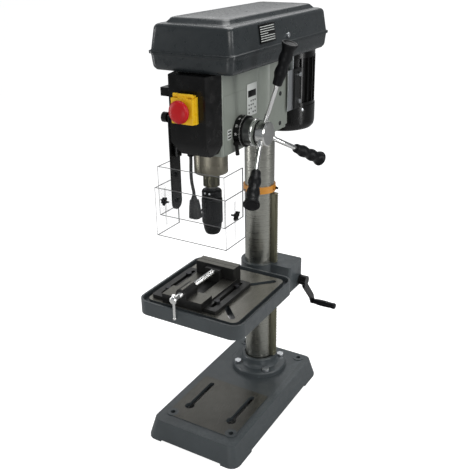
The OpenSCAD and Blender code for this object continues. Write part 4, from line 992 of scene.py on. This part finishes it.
class DP_OT_vise(bpy.types.Operator):
    """Finishes the vise and builds its threaded screw"""
    bl_idname = "drillpress.vise"
    bl_label = "Vise"

    def execute(self, context):
        soften("vise_body", 0.0008, 2, "vise")
        soften("vise_jaw", 0.0006, 2, "vise")
        soften("vise_bolts", 0.0005, 2, "oxide")
        soften("vise_handle", 0.0004, 2, "chrome")
        low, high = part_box("vise_screw")
        c = (low + high) / 2
        pitch, r, depth, steps, per = 0.003, 0.007, 0.0011, 28, 6
        loops = []
        y0, y1 = low.y + 0.020, high.y - 0.006
        rings = int((y1 - y0) / pitch * per)
        for i in range(rings + 1):
            y = y0 + (y1 - y0) * i / rings
            loop = []
            for k in range(steps):
                t = ((y - y0) / pitch + k / steps) % 1.0
                q = r - depth * (1 - abs(2 * t - 1)) * min(1, i / per, (rings - i) / per)
                loop.append(Vector((c.x + q * cos(tau * k / steps), y, c.z + q * sin(tau * k / steps))))
            loops.append(loop)
        head = [(6.6, 0), (8.2, 0.5), (9.0, 1.8), (9.0, 8.4), (8.4, 9.6), (7.2, 10.4), (7.0, 12), (7.0, 21)]
        head = moved(lathe(in_metres(head), 40), along((0, 1, 0), (c.x, low.y, c.z)))
        tail = rod((c.x, y1 - 0.001, c.z), (c.x, high.y, c.z), r - 0.0006)
        screw = make_object("Vise screw", *join_parts([loft(loops), head, tail]), "chrome", "jaw_screw", 50,
                            "chrome")
        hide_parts("vise_screw")
        return {"FINISHED"}


class DP_OT_motor(bpy.types.Operator):
    """Finishes the motor, its fan cover, slide plate and bolts"""
    bl_idname = "drillpress.motor"
    bl_label = "Motor"

    def execute(self, context):
        fine = context.scene.drill_press_sizes.sheet_edge
        soften("motor_body", fine * 1.2, 2, "gloss black")
        soften("fan_cover", fine * 1.6, 2, "gloss black")
        soften("motor_plate", fine, 2, "zinc")
        soften("motor_bolts", fine * 0.8, 2, "zinc")
        soften("motor_shaft", 0, 0, "steel")
        low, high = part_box("fan_cover")
        r = (high.x - low.x) / 2
        screws = []
        for a in (-28, 62, 152, 208):
            out = Vector((cos(radians(a)), sin(radians(a)), 0))
            c = Vector((MOTOR.x, MOTOR.y, high.z - 0.008))
            screws.append(rod(c + out * (r - 0.001), c + out * (r + 0.0012), 0.0036, 20, 0.0006))
        make_object("Fan cover screws", *join_parts(screws), "zinc", "motor", 40, slot="zinc")
        return {"FINISHED"}


OPERATORS = (DP_OT_stage, DP_OT_cord, DP_OT_castings, DP_OT_head, DP_OT_cover, DP_OT_switch, DP_OT_feed,
             DP_OT_chuck,
             DP_OT_guard, DP_OT_vise, DP_OT_motor)


class DP_PT_panel(bpy.types.Panel):
    """Lists the machine's settings and its groups of pieces"""
    bl_label = "Drill Press"
    bl_idname = "DP_PT_panel"
    bl_space_type = "VIEW_3D"
    bl_region_type = "UI"
    bl_category = "Drill Press"

    def draw(self, context):
        column = self.layout.column()
        for group in (context.scene.drill_press_look, context.scene.drill_press_sizes):
            for key in group.__annotations__:
                column.prop(group, key)
        for operator in OPERATORS:
            column.operator(operator.bl_idname)


CLASSES = (DrillPressLook, DrillPressSizes, *OPERATORS, DP_PT_panel)


def register():
    for cls in CLASSES:
        bpy.utils.register_class(cls)
    bpy.types.Scene.drill_press_look = bpy.props.PointerProperty(type=DrillPressLook)
    bpy.types.Scene.drill_press_sizes = bpy.props.PointerProperty(type=DrillPressSizes)


def unregister():
    del bpy.types.Scene.drill_press_sizes
    del bpy.types.Scene.drill_press_look
    for cls in reversed(CLASSES):
        bpy.utils.unregister_class(cls)


def main():
    register()
    make_finishes(bpy.context.scene.drill_press_look)
    for operator in OPERATORS:
        group, name = operator.bl_idname.split(".")
        getattr(getattr(bpy.ops, group), name)()
    bpy.context.view_layer.update()


if __name__ == "__main__":
    main()
